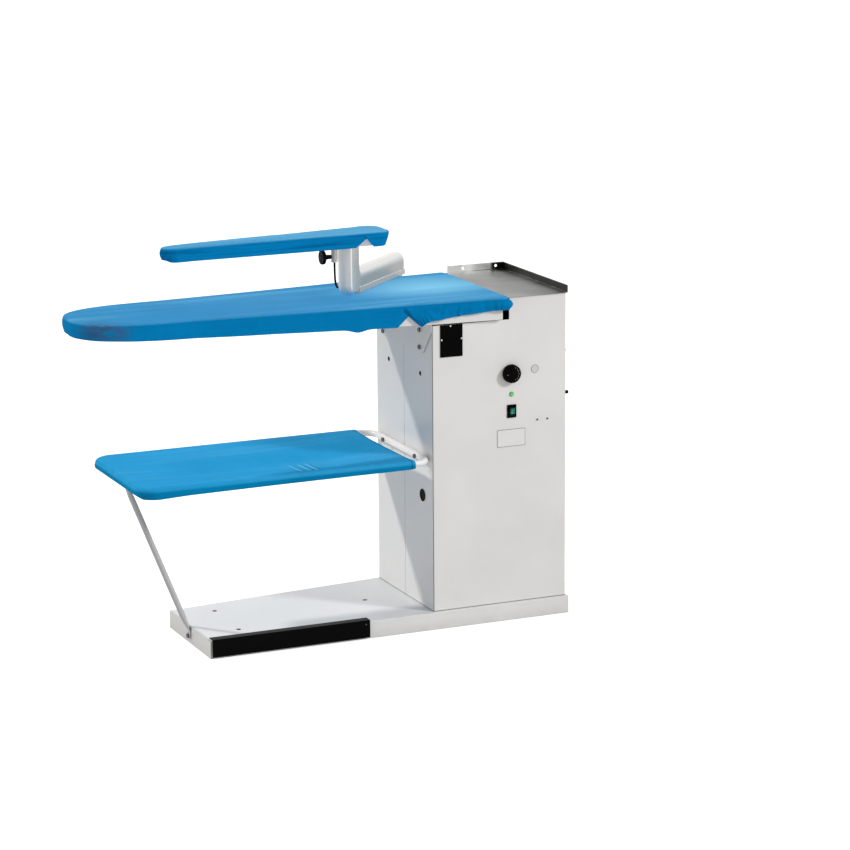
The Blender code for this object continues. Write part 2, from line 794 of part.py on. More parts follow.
def make_base_pan():
    """The folded floor pan with its holes and the pedal's slots."""
    made = put("base_pan", pan(base_outline(), BASE_HEIGHT, 0, BASE_SHEET), WHITE_PAINT)
    holes = bmesh.new()
    for along, back in BASE_HOLE_SHARES:
        centre = Vector((BASE_LENGTH * along, BASE_DEPTH * back, BASE_HEIGHT))
        hole(centre, UP, BASE_HOLE_RADIUS, 2 * OVERRUN, holes)
    cut(made, holes)
    slots = bmesh.new()
    half = PEDAL_ARM_THICK / 2 + PEDAL_SLOT_SIDE
    for x in pedal_arm_places():
        low = (x - half, -OVERRUN, PEDAL_ARM_LOW - PEDAL_SLOT_RISE)
        block(low, (x + half, BASE_SHEET + OVERRUN, PEDAL_ARM_HIGH + PEDAL_SLOT_SIDE), slots)
    cut(made, slots)
    cut(made, bolt_hole((0, STRUT_LOW_Y, STRUT_BOLT_Z), EAST))


def make_foot_pedal():
    """The angle bar with its two arms, which turns on the rod inside the pan."""
    pivot = Vector((0, PEDAL_PIVOT_Y, (PEDAL_ARM_LOW + PEDAL_ARM_HIGH) / 2))
    face = -PEDAL_STAND_OFF
    inner = face + PEDAL_SHEET
    under = PEDAL_TOP - PEDAL_SHEET
    section = [(face, PEDAL_CLEAR_FLOOR), (inner, PEDAL_CLEAR_FLOOR), (inner, under),
               (PEDAL_LAP, under), (PEDAL_LAP, PEDAL_TOP), (face, PEDAL_TOP)]
    ends = (PEDAL_START, PEDAL_START + PEDAL_LENGTH)
    bar = skin([[Vector((x, y, z)) for y, z in section] for x in ends])
    made = put("foot_pedal", bar, BLACK_PAINT, origin=pivot)
    arms = bmesh.new()
    for x in pedal_arm_places():
        half = PEDAL_ARM_THICK / 2
        low = (x - half, face + PEDAL_SHEET / 2, PEDAL_ARM_LOW)
        block(low, (x + half, PEDAL_PIVOT_Y + PEDAL_ARM_TAIL, PEDAL_ARM_HIGH), arms)
    join(made, arms)
    bores = bmesh.new()
    for x in pedal_arm_places():
        hole(pivot + EAST * x, EAST, PEDAL_ROD_RADIUS + GAP, 2 * PEDAL_ARM_THICK, bores)
    cut(made, bores)
    return pivot


def make_pedal_mechanism(pivot):
    """The rod, its two brackets, the return spring and the switch over the pedal's tail."""
    ceiling = BASE_HEIGHT - BASE_SHEET - GAP
    arms = pedal_arm_places()
    reach = PEDAL_BRACKET_OFFSET + PEDAL_BRACKET_SHEET + PEDAL_ROD_END
    start = arms[0] - reach
    rod = turned([(PEDAL_ROD_RADIUS, 0), (PEDAL_ROD_RADIUS, arms[1] + reach - start)],
                 pivot + EAST * start, EAST)
    put("pedal_pivot_rod", rod, PLATED_STEEL, smooth=True)
    outside = arms[0] - PEDAL_BRACKET_OFFSET - PEDAL_BRACKET_SHEET
    sides = (("left", outside), ("right", arms[1] + PEDAL_BRACKET_OFFSET))
    for side, x in sides:
        low = (x, pivot.y - PEDAL_BRACKET_HALF, PEDAL_ARM_LOW)
        plate = block(low, (x + PEDAL_BRACKET_SHEET, pivot.y + PEDAL_BRACKET_HALF, ceiling))
        made = put(f"pedal_bracket_{side}", plate, PLATED_STEEL)
        bore = hole(pivot + EAST * (x + PEDAL_BRACKET_SHEET / 2), EAST, PEDAL_ROD_RADIUS + GAP, 2 * OVERRUN)
        cut(made, bore)
    make_return_spring(Vector((arms[0], pivot.y + SPRING_SETBACK, PEDAL_ARM_HIGH)), ceiling)
    make_pedal_switch(Vector((arms[1], pivot.y + SWITCH_SETBACK, PEDAL_ARM_HIGH)), ceiling)


def make_return_spring(foot, ceiling):
    """A coil between the pedal's tail and the underside of the pan."""
    low = foot.z + GAP + SPRING_WIRE
    rise = ceiling - SPRING_WIRE - low
    count = SPRING_TURNS * SPRING_POINTS
    points = []
    for k in range(count + 1):
        angle = 2 * math.pi * k / SPRING_POINTS
        points.append(Vector((foot.x + SPRING_RADIUS * math.cos(angle),
                              foot.y + SPRING_RADIUS * math.sin(angle), low + rise * k / count)))
    rings = path_rings(points, SPRING_WIRE, 5)
    put("pedal_return_spring", skin(rings), PLATED_STEEL, smooth=True)


def make_pedal_switch(foot, ceiling):
    """The switch under the pan's top, and the plunger that the pedal's tail lifts."""
    low = ceiling - SWITCH_HEIGHT
    half = Vector((SWITCH_WIDTH / 2, SWITCH_DEPTH / 2, 0))
    body = block((*(foot - half).xy, low), (*(foot + half).xy, ceiling))
    made = put("pedal_switch", body, BLACK_PLASTIC)
    start = foot + UP * GAP
    mouth = Vector((foot.x, foot.y, low - OVERRUN))
    bore = PLUNGER_RADIUS + GAP
    pocket = turned([(bore, 0), (bore, OVERRUN + PLUNGER_POCKET)], mouth, UP, facets=BOLT_FACETS)
    cut(made, pocket)
    stem = turned([(PLUNGER_RADIUS, 0), (PLUNGER_RADIUS, PLUNGER_LENGTH)], start, UP, facets=12)
    put("pedal_switch_plunger", stem, PALE_PLASTIC, origin=start, smooth=True)


# Cabinet
def half_shell(open_y, wall_y):
    """The plan of a U-shaped panel, its wall on one side and its two returns reaching the seam."""
    outer = [(CAB_LEFT, open_y), (CAB_LEFT, wall_y), (CAB_RIGHT, wall_y), (CAB_RIGHT, open_y)]
    away = math.copysign(SHELL_SHEET, open_y - wall_y)
    inner = [(CAB_RIGHT - SHELL_SHEET, open_y), (CAB_RIGHT - SHELL_SHEET, wall_y + away),
             (CAB_LEFT + SHELL_SHEET, wall_y + away), (CAB_LEFT + SHELL_SHEET, open_y)]
    bend = SHELL_BEND
    tight = SHELL_BEND - SHELL_SHEET
    return rounded(outer + inner, [0, bend, bend, 0, 0, tight, tight, 0])


def make_front_shell():
    """The front panel with its returns, stepped down under the board and cut for the controls."""
    plan = half_shell(CAB_MIDDLE - SEAM_GAP / 2, CAB_FRONT)
    made = put("front_shell", prism(plan, SHELL_BASE, CABINET_TOP), WHITE_PAINT)
    low = (CAB_LEFT - OVERRUN, CAB_FRONT - OVERRUN, STEP_TOP)
    cut(made, block(low, (STEP_X, CAB_MIDDLE + OVERRUN, CABINET_TOP + OVERRUN)))
    front = bmesh.new()
    deep = 2 * (SHELL_SHEET + OVERRUN)
    hole((KNOB_X, CAB_FRONT, KNOB_Z), NORTH, SPINDLE_RADIUS + 2 * GAP, deep, front, 12)
    hole((LAMP_X, CAB_FRONT, LAMP_Z), NORTH, LAMP_STEM + GAP, deep, front, 16)
    wide = BEZEL_WIDE / 2 - BEZEL_BODY_INSET + GAP
    tall = BEZEL_TALL / 2 - BEZEL_BODY_INSET + GAP
    block((SWITCH_X - wide, CAB_FRONT - deep / 2, SWITCH_Z - tall),
          (SWITCH_X + wide, CAB_FRONT + deep / 2, SWITCH_Z + tall), front)
    cut(made, front)
    side = bmesh.new()
    for seat in bracket_seats()[:2] + lower_seats()[:1]:
        bolt_hole((CAB_LEFT, seat.y, seat.z), EAST, side)
    seat = (CAB_LEFT, CAB_FRONT + CABINET_DEPTH * SIDE_HOLE_FRONT_SHARE, SIDE_HOLE_HEIGHT)
    hole(seat, EAST, SIDE_HOLE_RADIUS, deep, side, SMALL_FACETS)
    hole(grommet_centre(), EAST, GROMMET_RADIUS - GROMMET_LIP, deep, side)
    cut(made, side)
    ports = bmesh.new()
    hole((CAB_RIGHT, CAB_FRONT + PORT_SETBACK, PLUG_Z), EAST, PLUG_STEM + GAP, deep, ports, 16)
    hole((CAB_RIGHT, CAB_FRONT + PORT_SETBACK, GLAND_Z), EAST, GLAND_STEM + GAP, deep, ports, 16)
    cut(made, ports)


def make_rear_shell():
    """The rear panel with its returns, its exhaust slots and the arm socket's hole."""
    plan = half_shell(CAB_MIDDLE + SEAM_GAP / 2, CAB_REAR)
    made = put("rear_shell", prism(plan, SHELL_BASE, CABINET_TOP), WHITE_PAINT)
    low = (CAB_LEFT - OVERRUN, CAB_MIDDLE - OVERRUN, STEP_TOP)
    cut(made, block(low, (STEP_X, CAB_REAR + OVERRUN, CABINET_TOP + OVERRUN)))
    side = bmesh.new()
    deep = 2 * (SHELL_SHEET + OVERRUN)
    for seat in bracket_seats()[2:] + lower_seats()[1:]:
        bolt_hole((CAB_LEFT, seat.y, seat.z), EAST, side)
    seat = (CAB_LEFT, CAB_FRONT + CABINET_DEPTH * SIDE_HOLE_REAR_SHARE, SIDE_HOLE_HEIGHT)
    hole(seat, EAST, SIDE_HOLE_RADIUS, deep, side, SMALL_FACETS)
    cut(made, side)
    back = bmesh.new()
    hole((PIVOT_X, CAB_REAR, socket_axis_z()), NORTH, SOCKET_RADIUS + GAP, deep, back)
    outlet_x, outlet_z = outlet_middle()
    first = outlet_z - VENT_PITCH * (VENT_ROWS - 1) / 2
    for row in range(VENT_ROWS):
        z = first + VENT_PITCH * row
        block((outlet_x - VENT_LENGTH / 2, CAB_REAR - deep / 2, z - VENT_WIDTH / 2),
              (outlet_x + VENT_LENGTH / 2, CAB_REAR + deep / 2, z + VENT_WIDTH / 2), back)
    cut(made, back)


def grommet_centre():
    """The middle of the large round opening low on the side."""
    return Vector((CAB_LEFT, CAB_FRONT + CABINET_DEPTH * GROMMET_SHARE, GROMMET_HEIGHT))


def make_side_grommet():
    """A rubber grommet with a thin skin across it, snapped into the side panel."""
    body = GROMMET_RADIUS - GROMMET_LIP - GAP
    lip = GROMMET_LIP
    behind = -SHELL_SHEET - GAP
    profile = [(body - lip, GROMMET_MEMBRANE), (body - lip, lip), (GROMMET_RADIUS, lip),
               (GROMMET_RADIUS, GAP), (body, GAP), (body, behind), (GROMMET_RADIUS, behind),
               (GROMMET_RADIUS, -SHELL_SHEET - lip), (body - lip, -SHELL_SHEET - lip), (body - lip, 0)]
    ring = turned(profile, grommet_centre(), -EAST, facets=PIPE_FACETS)
    put("side_grommet", ring, BLACK_RUBBER, smooth=True)


def make_inner_frame():
    """Four posts and their rails, welded into the frame that carries the board, tray and deck."""
    left = CAB_LEFT + SHELL_SHEET + FRAME_FIT
    right = CAB_RIGHT - SHELL_SHEET - FRAME_FIT
    front = CAB_FRONT + SHELL_SHEET + FRAME_FIT
    rear = CAB_REAR - SHELL_SHEET - FRAME_FIT
    tube = FRAME_TUBE
    low_top = PLENUM_FLOOR - GAP
    high_top = CABINET_TOP - GAP
    posts = bmesh.new()
    for x, top in ((left, low_top), (right - tube, high_top)):
        for y in (front, rear - tube):
            block((x, y, SHELL_BASE), (x + tube, y + tube, top), posts)
    made = put("inner_frame", posts, GREY_CASTING)
    rails = bmesh.new()
    lap = FRAME_LAP
    step_top = STEP_TOP - FRAME_LAP
    for y in (front, rear - tube):
        for top in (SHELL_BASE + tube + lap, DECK_HEIGHT, step_top):
            block((left + tube - lap, y + lap / 2, top - tube),
                  (right - tube + lap, y + tube - lap / 2, top), rails)
    foot = SHELL_BASE + tube + 3 * lap
    seats = bracket_seats()[:2] + lower_seats()[:1]
    for z in [foot] + [seat.z - tube / 2 for seat in seats]:
        block((left + lap / 2, front + tube - lap, z),
              (left + tube - lap - lap / 2, rear - tube + lap, z + tube), rails)
    for z in (foot, step_top - tube - lap):
        block((right - tube + lap + lap / 2, front + tube - lap, z),
              (right - lap / 2, rear - tube + lap, z + tube), rails)
    join(made, rails)
    holes = bmesh.new()
    for seat in bracket_seats() + lower_seats():
        bolt_hole((left + tube / 2, seat.y, seat.z), EAST, holes)
    cut(made, holes)


def make_fan_deck():
    """The shelf on the frame's middle rails."""
    side = SHELL_SHEET + FRAME_FIT + FRAME_TUBE + FRAME_FIT
    edge = SHELL_SHEET + FRAME_FIT
    low = (CAB_LEFT + side, CAB_FRONT + edge, DECK_HEIGHT + GAP)
    high = (CAB_RIGHT - side, CAB_REAR - edge, DECK_HEIGHT + GAP + DECK_SHEET)
    put("fan_deck", block(low, high), PLATED_STEEL)


# Suction unit
def make_motor():
    """The ribbed motor and its capacitor, standing on the deck."""
    profile = [(MOTOR_RADIUS - MOTOR_FIN, 0)]
    pitch = (MOTOR_HEIGHT - MOTOR_SPIGOT) / (2 * MOTOR_FINS)
    for k in range(MOTOR_FINS):
        low = pitch * (2 * k + 1)
        profile += [(MOTOR_RADIUS - MOTOR_FIN, low), (MOTOR_RADIUS, low),
                    (MOTOR_RADIUS, low + pitch), (MOTOR_RADIUS - MOTOR_FIN, low + pitch)]
    bore = SHAFT_RADIUS + GAP
    profile += [(MOTOR_RADIUS - MOTOR_FIN, MOTOR_HEIGHT), (bore, MOTOR_HEIGHT),
                (bore, MOTOR_HEIGHT - SHAFT_SEAT)]
    foot = FAN + UP * MOTOR_FOOT
    put("motor_body", turned(profile, foot, UP), GREY_CASTING, smooth=True)
    along, back = CAPACITOR_SHARES
    place = Vector((CAB_LEFT + CABINET_WIDTH * along, CAB_FRONT + CABINET_DEPTH * back, MOTOR_FOOT))
    can = turned([(CAPACITOR_RADIUS, 0), (CAPACITOR_RADIUS, CAPACITOR_HEIGHT)], place, UP)
    put("motor_capacitor", can, PALE_PLASTIC, smooth=True)


def scroll_outline():
    """The fan housing's plan: a spiral that widens to the outlet at the back."""
    start = SCROLL_RADIUS * SCROLL_START_SHARE
    inner_x = SCROLL_RADIUS - SCROLL_OUTLET
    first = math.acos(inner_x / start)
    sweep = 2 * math.pi - first
    outlet_y = CAB_REAR - SHELL_SHEET - GAP - FRAME_TUBE - 2 * FRAME_FIT - CAB_MIDDLE
    points = [(SCROLL_RADIUS, outlet_y), (inner_x, outlet_y)]
    for k in range(SCROLL_STEPS + 1):
        radius = start + (SCROLL_RADIUS - start) * k / SCROLL_STEPS
        angle = first + sweep * k / SCROLL_STEPS
        points.append((radius * math.cos(angle), radius * math.sin(angle)))
    return [(x + FAN.x, y + FAN.y) for x, y in points]


def outlet_middle():
    """The middle of the fan's outlet, across and up."""
    return FAN.x + SCROLL_RADIUS - SCROLL_OUTLET / 2, SCROLL_FLOOR + SCROLL_HEIGHT / 2


def make_scroll():
    """The hollow fan housing, open at its outlet, its inlet and the motor's spigot."""
    plan = scroll_outline()
    made = put("fan_scroll", prism(plan, SCROLL_FLOOR, SCROLL_LID), GREY_PAINT)
    cavity = inset(plan, SCROLL_SHEET)
    beyond = plan[0][1] + OVERRUN
    cavity[0] = (cavity[0][0], beyond)
    cavity[1] = (cavity[1][0], beyond)
    cut(made, prism(cavity, SCROLL_FLOOR + SCROLL_SHEET, SCROLL_LID - SCROLL_SHEET))
    deep = 2 * (SCROLL_SHEET + OVERRUN)
    openings = hole(FAN + UP * SCROLL_LID, UP, INLET_RADIUS, deep)
    hole(FAN + UP * SCROLL_FLOOR, UP, SCROLL_SHAFT_HOLE, deep, openings)
    cut(made, openings)


def make_rotor():
    """The bladed wheel and the shaft that it sits on."""
    base = SCROLL_FLOOR + SCROLL_SHEET + IMPELLER_LIFT
    bore = SHAFT_RADIUS + GAP
    disc = IMPELLER_DISC
    profile = [(bore, 0), (IMPELLER_RADIUS, 0), (IMPELLER_RADIUS, disc),
               (IMPELLER_BOSS, disc), (IMPELLER_BOSS, IMPELLER_BOSS_HIGH), (bore, IMPELLER_BOSS_HIGH)]
    hub = FAN + UP * base
    made = put("fan_impeller", turned(profile, hub, UP, loop=True), GREY_CASTING, origin=hub)
    blades = bmesh.new()
    for number in range(BLADES):
        start = 2 * math.pi * number / BLADES
        sides = [[], []]
        for k in range(BLADE_STEPS + 1):
            share = k / BLADE_STEPS
            radius = IMPELLER_EYE + (IMPELLER_RADIUS - SCROLL_SHEET - IMPELLER_EYE) * share
            angle = start - math.radians(BLADE_SWEEP) * share
            for side, points in zip((-0.5, 0.5), sides):
                turn = angle + side * BLADE_THICK / radius
                points.append((FAN.x + radius * math.cos(turn), FAN.y + radius * math.sin(turn)))
        prism(sides[0] + sides[1][::-1], base + disc / 2, base + BLADE_HIGH, blades)
    join(made, blades)
    foot = MOTOR_FOOT + MOTOR_HEIGHT - SHAFT_SEAT + GAP
    length = base + IMPELLER_BOSS_HIGH - foot
    start = FAN + UP * foot
    shaft = turned([(SHAFT_RADIUS, 0), (SHAFT_RADIUS, length)], start, UP)
    put("motor_shaft", shaft, PLATED_STEEL, origin=start, smooth=True)


def socket_axis_z():
    """The height at which the arm's socket passes through the rear panel."""
    return SCROLL_LID + SOCKET_LIFT


def make_ducts():
    """The ducts from the board to the fan, from the fan to the vents and on to the arm."""
    ends = [FAN + UP * (SCROLL_LID + GAP), FAN + UP * (PLENUM_FLOOR - GAP)]
    duct = put("suction_duct", pipe(ends, DUCT_RADIUS, DUCT_SHEET), PLATED_STEEL, smooth=True)
    inside = Vector((PIVOT_X, CAB_REAR - SOCKET_INSIDE - GAP, socket_axis_z()))
    turn = inside - NORTH * (FEED_BEND + FEED_RADIUS)
    middle = FAN + UP * socket_axis_z()
    heading = (turn - middle).normalized()
    start = middle + heading * (DUCT_RADIUS + GAP)
    bore = FEED_RADIUS - DUCT_SHEET
    cut(duct, turned([(bore, 0), (bore, DUCT_RADIUS + OVERRUN)], middle, heading))
    route = bent([start, turn, inside], FEED_BEND)
    put("arm_feed_pipe", pipe(route, FEED_RADIUS, DUCT_SHEET), PLATED_STEEL, smooth=True)
    outlet_x, outlet_z = outlet_middle()
    mouth = scroll_outline()[0][1] + GAP
    wide = SCROLL_OUTLET / 2
    tall = SCROLL_HEIGHT / 2
    rings = []
    for inward, y in ((0, mouth), (0, CAB_REAR - SHELL_SHEET - GAP)):
        rings.append([Vector((outlet_x + sx * (wide - inward), y, outlet_z + sz * (tall - inward)))
                      for sx, sz in ((-1, -1), (1, -1), (1, 1), (-1, 1))])
    inner = [[Vector((outlet_x + (p.x - outlet_x) * (1 - DUCT_SHEET / wide), p.y,
                      outlet_z + (p.z - outlet_z) * (1 - DUCT_SHEET / tall))) for p in ring] for ring in rings]
    put("exhaust_duct", skin(rings + inner[::-1], loop=True), PLATED_STEEL)


# Board
def plenum_rise(x):
    """How far the board's underside has risen: level over the cabinet, up towards the nose."""
    return PLENUM_TIP_RISE * max(0.0, (CAB_LEFT - x) / (CAB_LEFT - BOARD_TIP))


def raise_floor(shape, level_end, middle, rise):
    """Bends a pan's floor upwards from one place on, leaving its rim as it is."""
    everything = list(shape.verts) + list(shape.edges) + list(shape.faces)
    bmesh.ops.bisect_plane(shape, geom=everything, plane_co=(level_end, 0, 0),
                           plane_no=(1, 0, 0), dist=GAP / 10)
    for vertex in shape.verts:
        if vertex.co.z < middle:
            vertex.co.z += rise(vertex.co.x)


def make_plenum():
    """The hollow tray under the board, which the fan draws air from."""
    plan = board_outline(UNDER_COVER + PLENUM_SETBACK)
    shape = pan(plan, PLENUM_FLOOR, PLENUM_RIM, PLENUM_SHEET)
    raise_floor(shape, CAB_LEFT, (PLENUM_FLOOR + PLENUM_RIM) / 2, plenum_rise)
    made = put("board_plenum", shape, WHITE_PAINT)
    cut(made, hole(FAN + UP * PLENUM_FLOOR, UP, DUCT_RADIUS - DUCT_SHEET, 2 * OVERRUN))


def make_plate_and_pad():
    """The perforated plate with its pad, and the heating rod below it."""
    plan = board_outline(UNDER_COVER)
    plate = put("board_plate", prism(plan, PLATE_FLOOR, PLATE_TOP), PLATED_STEEL)
    holes = bmesh.new()
    start, end = PLATE_HOLE_SPAN_SHARES
    for column in range(PLATE_HOLE_COLUMNS):
        share = start + (end - start) * column / (PLATE_HOLE_COLUMNS - 1)
        x = BOARD_TIP + BOARD_LENGTH * share
        for row in PLATE_HOLE_ROW_SHARES:
            centre = Vector((x, BOARD_MIDDLE + SHOULDER_WIDTH * row * min(1.0, 0.5 + share), PLATE_TOP))
            hole(centre, UP, PLATE_HOLE_RADIUS, 2 * (PLATE_THICK + OVERRUN), holes, PLATE_HOLE_FACETS)
    cut(plate, holes)
    put("board_pad", padding(plan, PAD_FLOOR, PAD_TOP, COVER_EDGE), FOAM)
    height = PLENUM_RIM - HEATER_ROD
    left = BOARD_TIP + BOARD_LENGTH * HEATER_START_SHARE
    right = BOARD_TIP + BOARD_LENGTH * HEATER_END_SHARE
    points = []
    for run in range(HEATER_RUNS):
        y = BOARD_MIDDLE + HEATER_PITCH * (run - (HEATER_RUNS - 1) / 2)
        ends = (left, right) if run % 2 == 0 else (right, left)
        points += [Vector((x, y, height)) for x in ends]
    route = bent(points, HEATER_PITCH / 2 - GAP, 4)
    put("board_heater", skin(path_rings(route, HEATER_ROD, 8)), PLATED_STEEL, smooth=True)


def near_cabinet(point):
    """Whether the cover hangs free here, because the cabinet keeps it from being tucked under."""
    return point.x > NOTCH_START - NOTCH_LEAD


def cover_hem(point):
    """The hem: under the board along its free length, a notch at the cabinet, then gathered up."""
    low = PLENUM_FLOOR + plenum_rise(point.x) - GAP - COVER_THICK
    if point.x < NOTCH_START:
        return low
    if point.x < NOTCH_APEX:
        return low + NOTCH_RISE * (point.x - NOTCH_START) / (NOTCH_APEX - NOTCH_START)
    if point.x < NOTCH_END:
        return low + NOTCH_RISE * (NOTCH_END - point.x) / (NOTCH_END - NOTCH_APEX)
    return low + GATHER_RISE * (point.x - NOTCH_END) / (BOARD_END - NOTCH_END) + COVER_DROP


def cover_ripple(point):
    """How far the gathered hem stands out, with the spare cloth bunched at the two corners."""
    if point.x < NOTCH_END:
        return 0.0
    corner = Vector((BOARD_END, math.copysign(BLUNT_WIDTH / 2, point.y - BOARD_MIDDLE) + BOARD_MIDDLE))
    near = max(0.0, 1 - (point - corner).length / CORNER_SPREAD)
    along = point.x if point.x < BOARD_END - BLUNT_CORNER else BOARD_END + point.y
    wave = GATHER_DEPTH * (1 - math.cos(2 * math.pi * along / GATHER_WAVE)) / 2
    return wave + CORNER_BULGE * near


def make_board_cover():
    """The blue cloth: smooth along the board, notched and gathered where the cabinet is."""

    def spacing(point):
        """Close points where the hem is notched or gathered."""
        return GATHER_STEP if near_cabinet(point) else PLAIN_STEP

    def tuck(point):
        """How far the hem is drawn in under the board."""
        return COVER_FREE_TUCK if near_cabinet(point) else COVER_TUCK

    breaks = (NOTCH_START - NOTCH_LEAD, NOTCH_START, NOTCH_APEX, NOTCH_END)
    places = stations(board_outline(0.0), breaks, spacing)
    shape = cover(places, BOARD_TOP, COVER_EDGE, cover_hem, tuck, cover_ripple)
    put("board_cover", shape, BLUE_CLOTH, smooth=True)


def bracket_seats():
    """Where the bracket's four bolts sit: the two in front, then the two behind."""
    top = PLENUM_FLOOR - GAP
    x = CAB_LEFT - GAP - BRACKET_SHEET
    return [Vector((x, CAB_FRONT + back, top - drop))
            for back in (BRACKET_BOLT_FRONT, CABINET_DEPTH - BRACKET_BOLT_REAR_MARGIN)
            for drop in BRACKET_BOLT_DROPS]


def make_bracket():
    """The plate on the cabinet's side whose lip carries the board, and its bolts."""
    top = PLENUM_FLOOR - GAP
    low = top - BRACKET_DEPTH
    inner = CAB_LEFT - GAP
    outer = inner - BRACKET_SHEET
    slant = BRACKET_SLANT
    face = [(CAB_FRONT + slant, low), (CAB_REAR - slant, low), (CAB_REAR, top - FRAME_TUBE),
            (CAB_REAR, top), (CAB_FRONT, top), (CAB_FRONT, top - FRAME_TUBE)]
    plate = skin([[Vector((x, y, z)) for y, z in face] for x in (outer, inner)])
    made = put("board_bracket", plate, WHITE_PAINT)
    lip = (outer - BRACKET_LIP, CAB_FRONT + BRACKET_SHEET, top - BRACKET_SHEET)
    join(made, block(lip, (outer + BRACKET_SHEET / 2, CAB_REAR - BRACKET_SHEET, top - GAP)))
    holes = bmesh.new()
    for seat in bracket_seats():
        bolt_hole(seat, EAST, holes)
    cut(made, holes)
    names = ("front_upper", "front_lower", "rear_upper", "rear_lower")
    for name, seat in zip(names, bracket_seats()):
        bolt(f"bracket_bolt_{name}", seat, -EAST, BOLT_GRIP)


def make_iron_tray():
    """The steel tray: a floor with a wall on its right and another behind."""
    floor = CABINET_TOP + GAP
    top = floor + TRAY_WALL + TRAY_SHEET
    shape = bmesh.new()
    corner = {}
    places = {"front_left": (TRAY_START, TRAY_FRONT, floor),
              "front_right": (TRAY_END, TRAY_FRONT, floor),
              "rear_right": (TRAY_END, TRAY_REAR, floor),
              "rear_left": (TRAY_START, TRAY_REAR, floor),
              "wall_left": (TRAY_WALL_START, TRAY_REAR, floor),
              "front_top": (TRAY_END, TRAY_FRONT, top),
              "corner_top": (TRAY_END, TRAY_REAR, top),
              "left_top": (TRAY_WALL_START, TRAY_REAR, top)}
    for name, place in places.items():
        corner[name] = shape.verts.new(place)
    for face in (("front_left", "front_right", "rear_right", "wall_left", "rear_left"),
                 ("front_right", "front_top", "corner_top", "rear_right"),
                 ("wall_left", "rear_right", "corner_top", "left_top")):
        shape.faces.new([corner[name] for name in face])
    made = put("iron_tray", shape, BRUSHED_STEEL)
    if made.data.polygons[0].normal.z < 0:
        made.data.flip_normals()
    fold = made.modifiers.new("sheet", "SOLIDIFY")
    fold.thickness = TRAY_SHEET
    fold.offset = 1.0
    fold.use_even_offset = True
    holes = bmesh.new()
    for share in TRAY_HOLE_SHARES:
        along = TRAY_WALL_START + (TRAY_END - TRAY_WALL_START) * share
        centre = (along, TRAY_REAR, floor + TRAY_WALL * TRAY_HOLE_HEIGHT_SHARE)
        hole(centre, NORTH, TRAY_HOLE_RADIUS, 2 * (TRAY_SHEET + OVERRUN), holes, SMALL_FACETS)
    cut(made, holes)


# Swivel arm
def make_arm_pivot():
    """The socket through the rear panel, the bush on it and the pipe that turns in it."""
    low = socket_axis_z()
    inside = Vector((PIVOT_X, CAB_REAR - SOCKET_INSIDE, low))
    route = bent([inside, PIVOT + UP * low, PIVOT + UP * SOCKET_TOP], SOCKET_BEND)
    put("arm_socket", pipe(route, SOCKET_RADIUS, SOCKET_WALL, FACETS), GREY_PAINT, smooth=True)
    seat = SOCKET_TOP + GAP
    bore = PIPE_RADIUS + PIPE_FIT
    ring = [(bore, 0), (COLLAR_RADIUS, 0), (COLLAR_RADIUS, BUSH_HIGH), (bore, BUSH_HIGH)]
    put("arm_bush", turned(ring, PIVOT + UP * seat, UP, loop=True), BLACK_PLASTIC, smooth=True)
    foot = SOCKET_TOP - (SOCKET_TOP - low) * PIPE_DROP_SHARE
    collar = seat + BUSH_HIGH + GAP - foot
    top = ARM_BOTTOM + PIPE_RISE - foot
    wall = PIPE_RADIUS - PIPE_WALL
    profile = [(wall, 0), (PIPE_RADIUS, 0), (PIPE_RADIUS, collar), (COLLAR_RADIUS, collar),
               (COLLAR_RADIUS, collar + COLLAR_HIGH), (PIPE_RADIUS, collar + COLLAR_HIGH),
               (PIPE_RADIUS, top), (wall, top)]
    swivel = turned(profile, UP * foot, UP, loop=True)
    put("arm_swivel_pipe", swivel, GREY_PAINT, ARM_PIVOT, smooth=True)


def arm_point(along, across, z):
    """A place on the arm, measured from the pivot."""
    return COLUMN - PIVOT + ALONG * along + ACROSS * across + UP * z


def arm_outline():
    """The arm seen from its side: the column with its rounded foot and the duct back to the pivot."""
    front = -COLUMN_LONG / 2
    back = COLUMN_LONG / 2
    end = ARM_REACH + ARM_END
    low = ARM_BOTTOM
    lift = low + LIP_SHEET + GAP
    high = low + ARM_HEIGHT
    top = COLUMN_TOP + ARM_SHOULDER + ARM_EDGE
    corners = [(front, low), (back, low), (back + LIP_RUN, lift), (end, lift), (end, high),
               (back, high), (back, top), (front, top)]
    edge = ARM_EDGE + LIP_SHEET
    radii = [ARM_FOOT, 0, 0, edge, ARM_SHOULDER, ARM_CROTCH, edge, edge]
    return rounded(corners, radii, 5)


def rounded_slab(outline, half, edge, steps=3):
    """A slab across the arm with its long edges rounded."""
    rings = []
    for side in (-1, 1):
        row = []
        for k in range(steps + 1):
            angle = math.pi / 2 * k / steps
            drawn = inset(outline, edge * (1 - math.sin(angle)))
            across = side * (half - edge + edge * math.cos(angle))
            row.append([arm_point(s, across, z) for s, z in drawn])
        rings += row if side < 0 else row[::-1]
    return skin(rings)


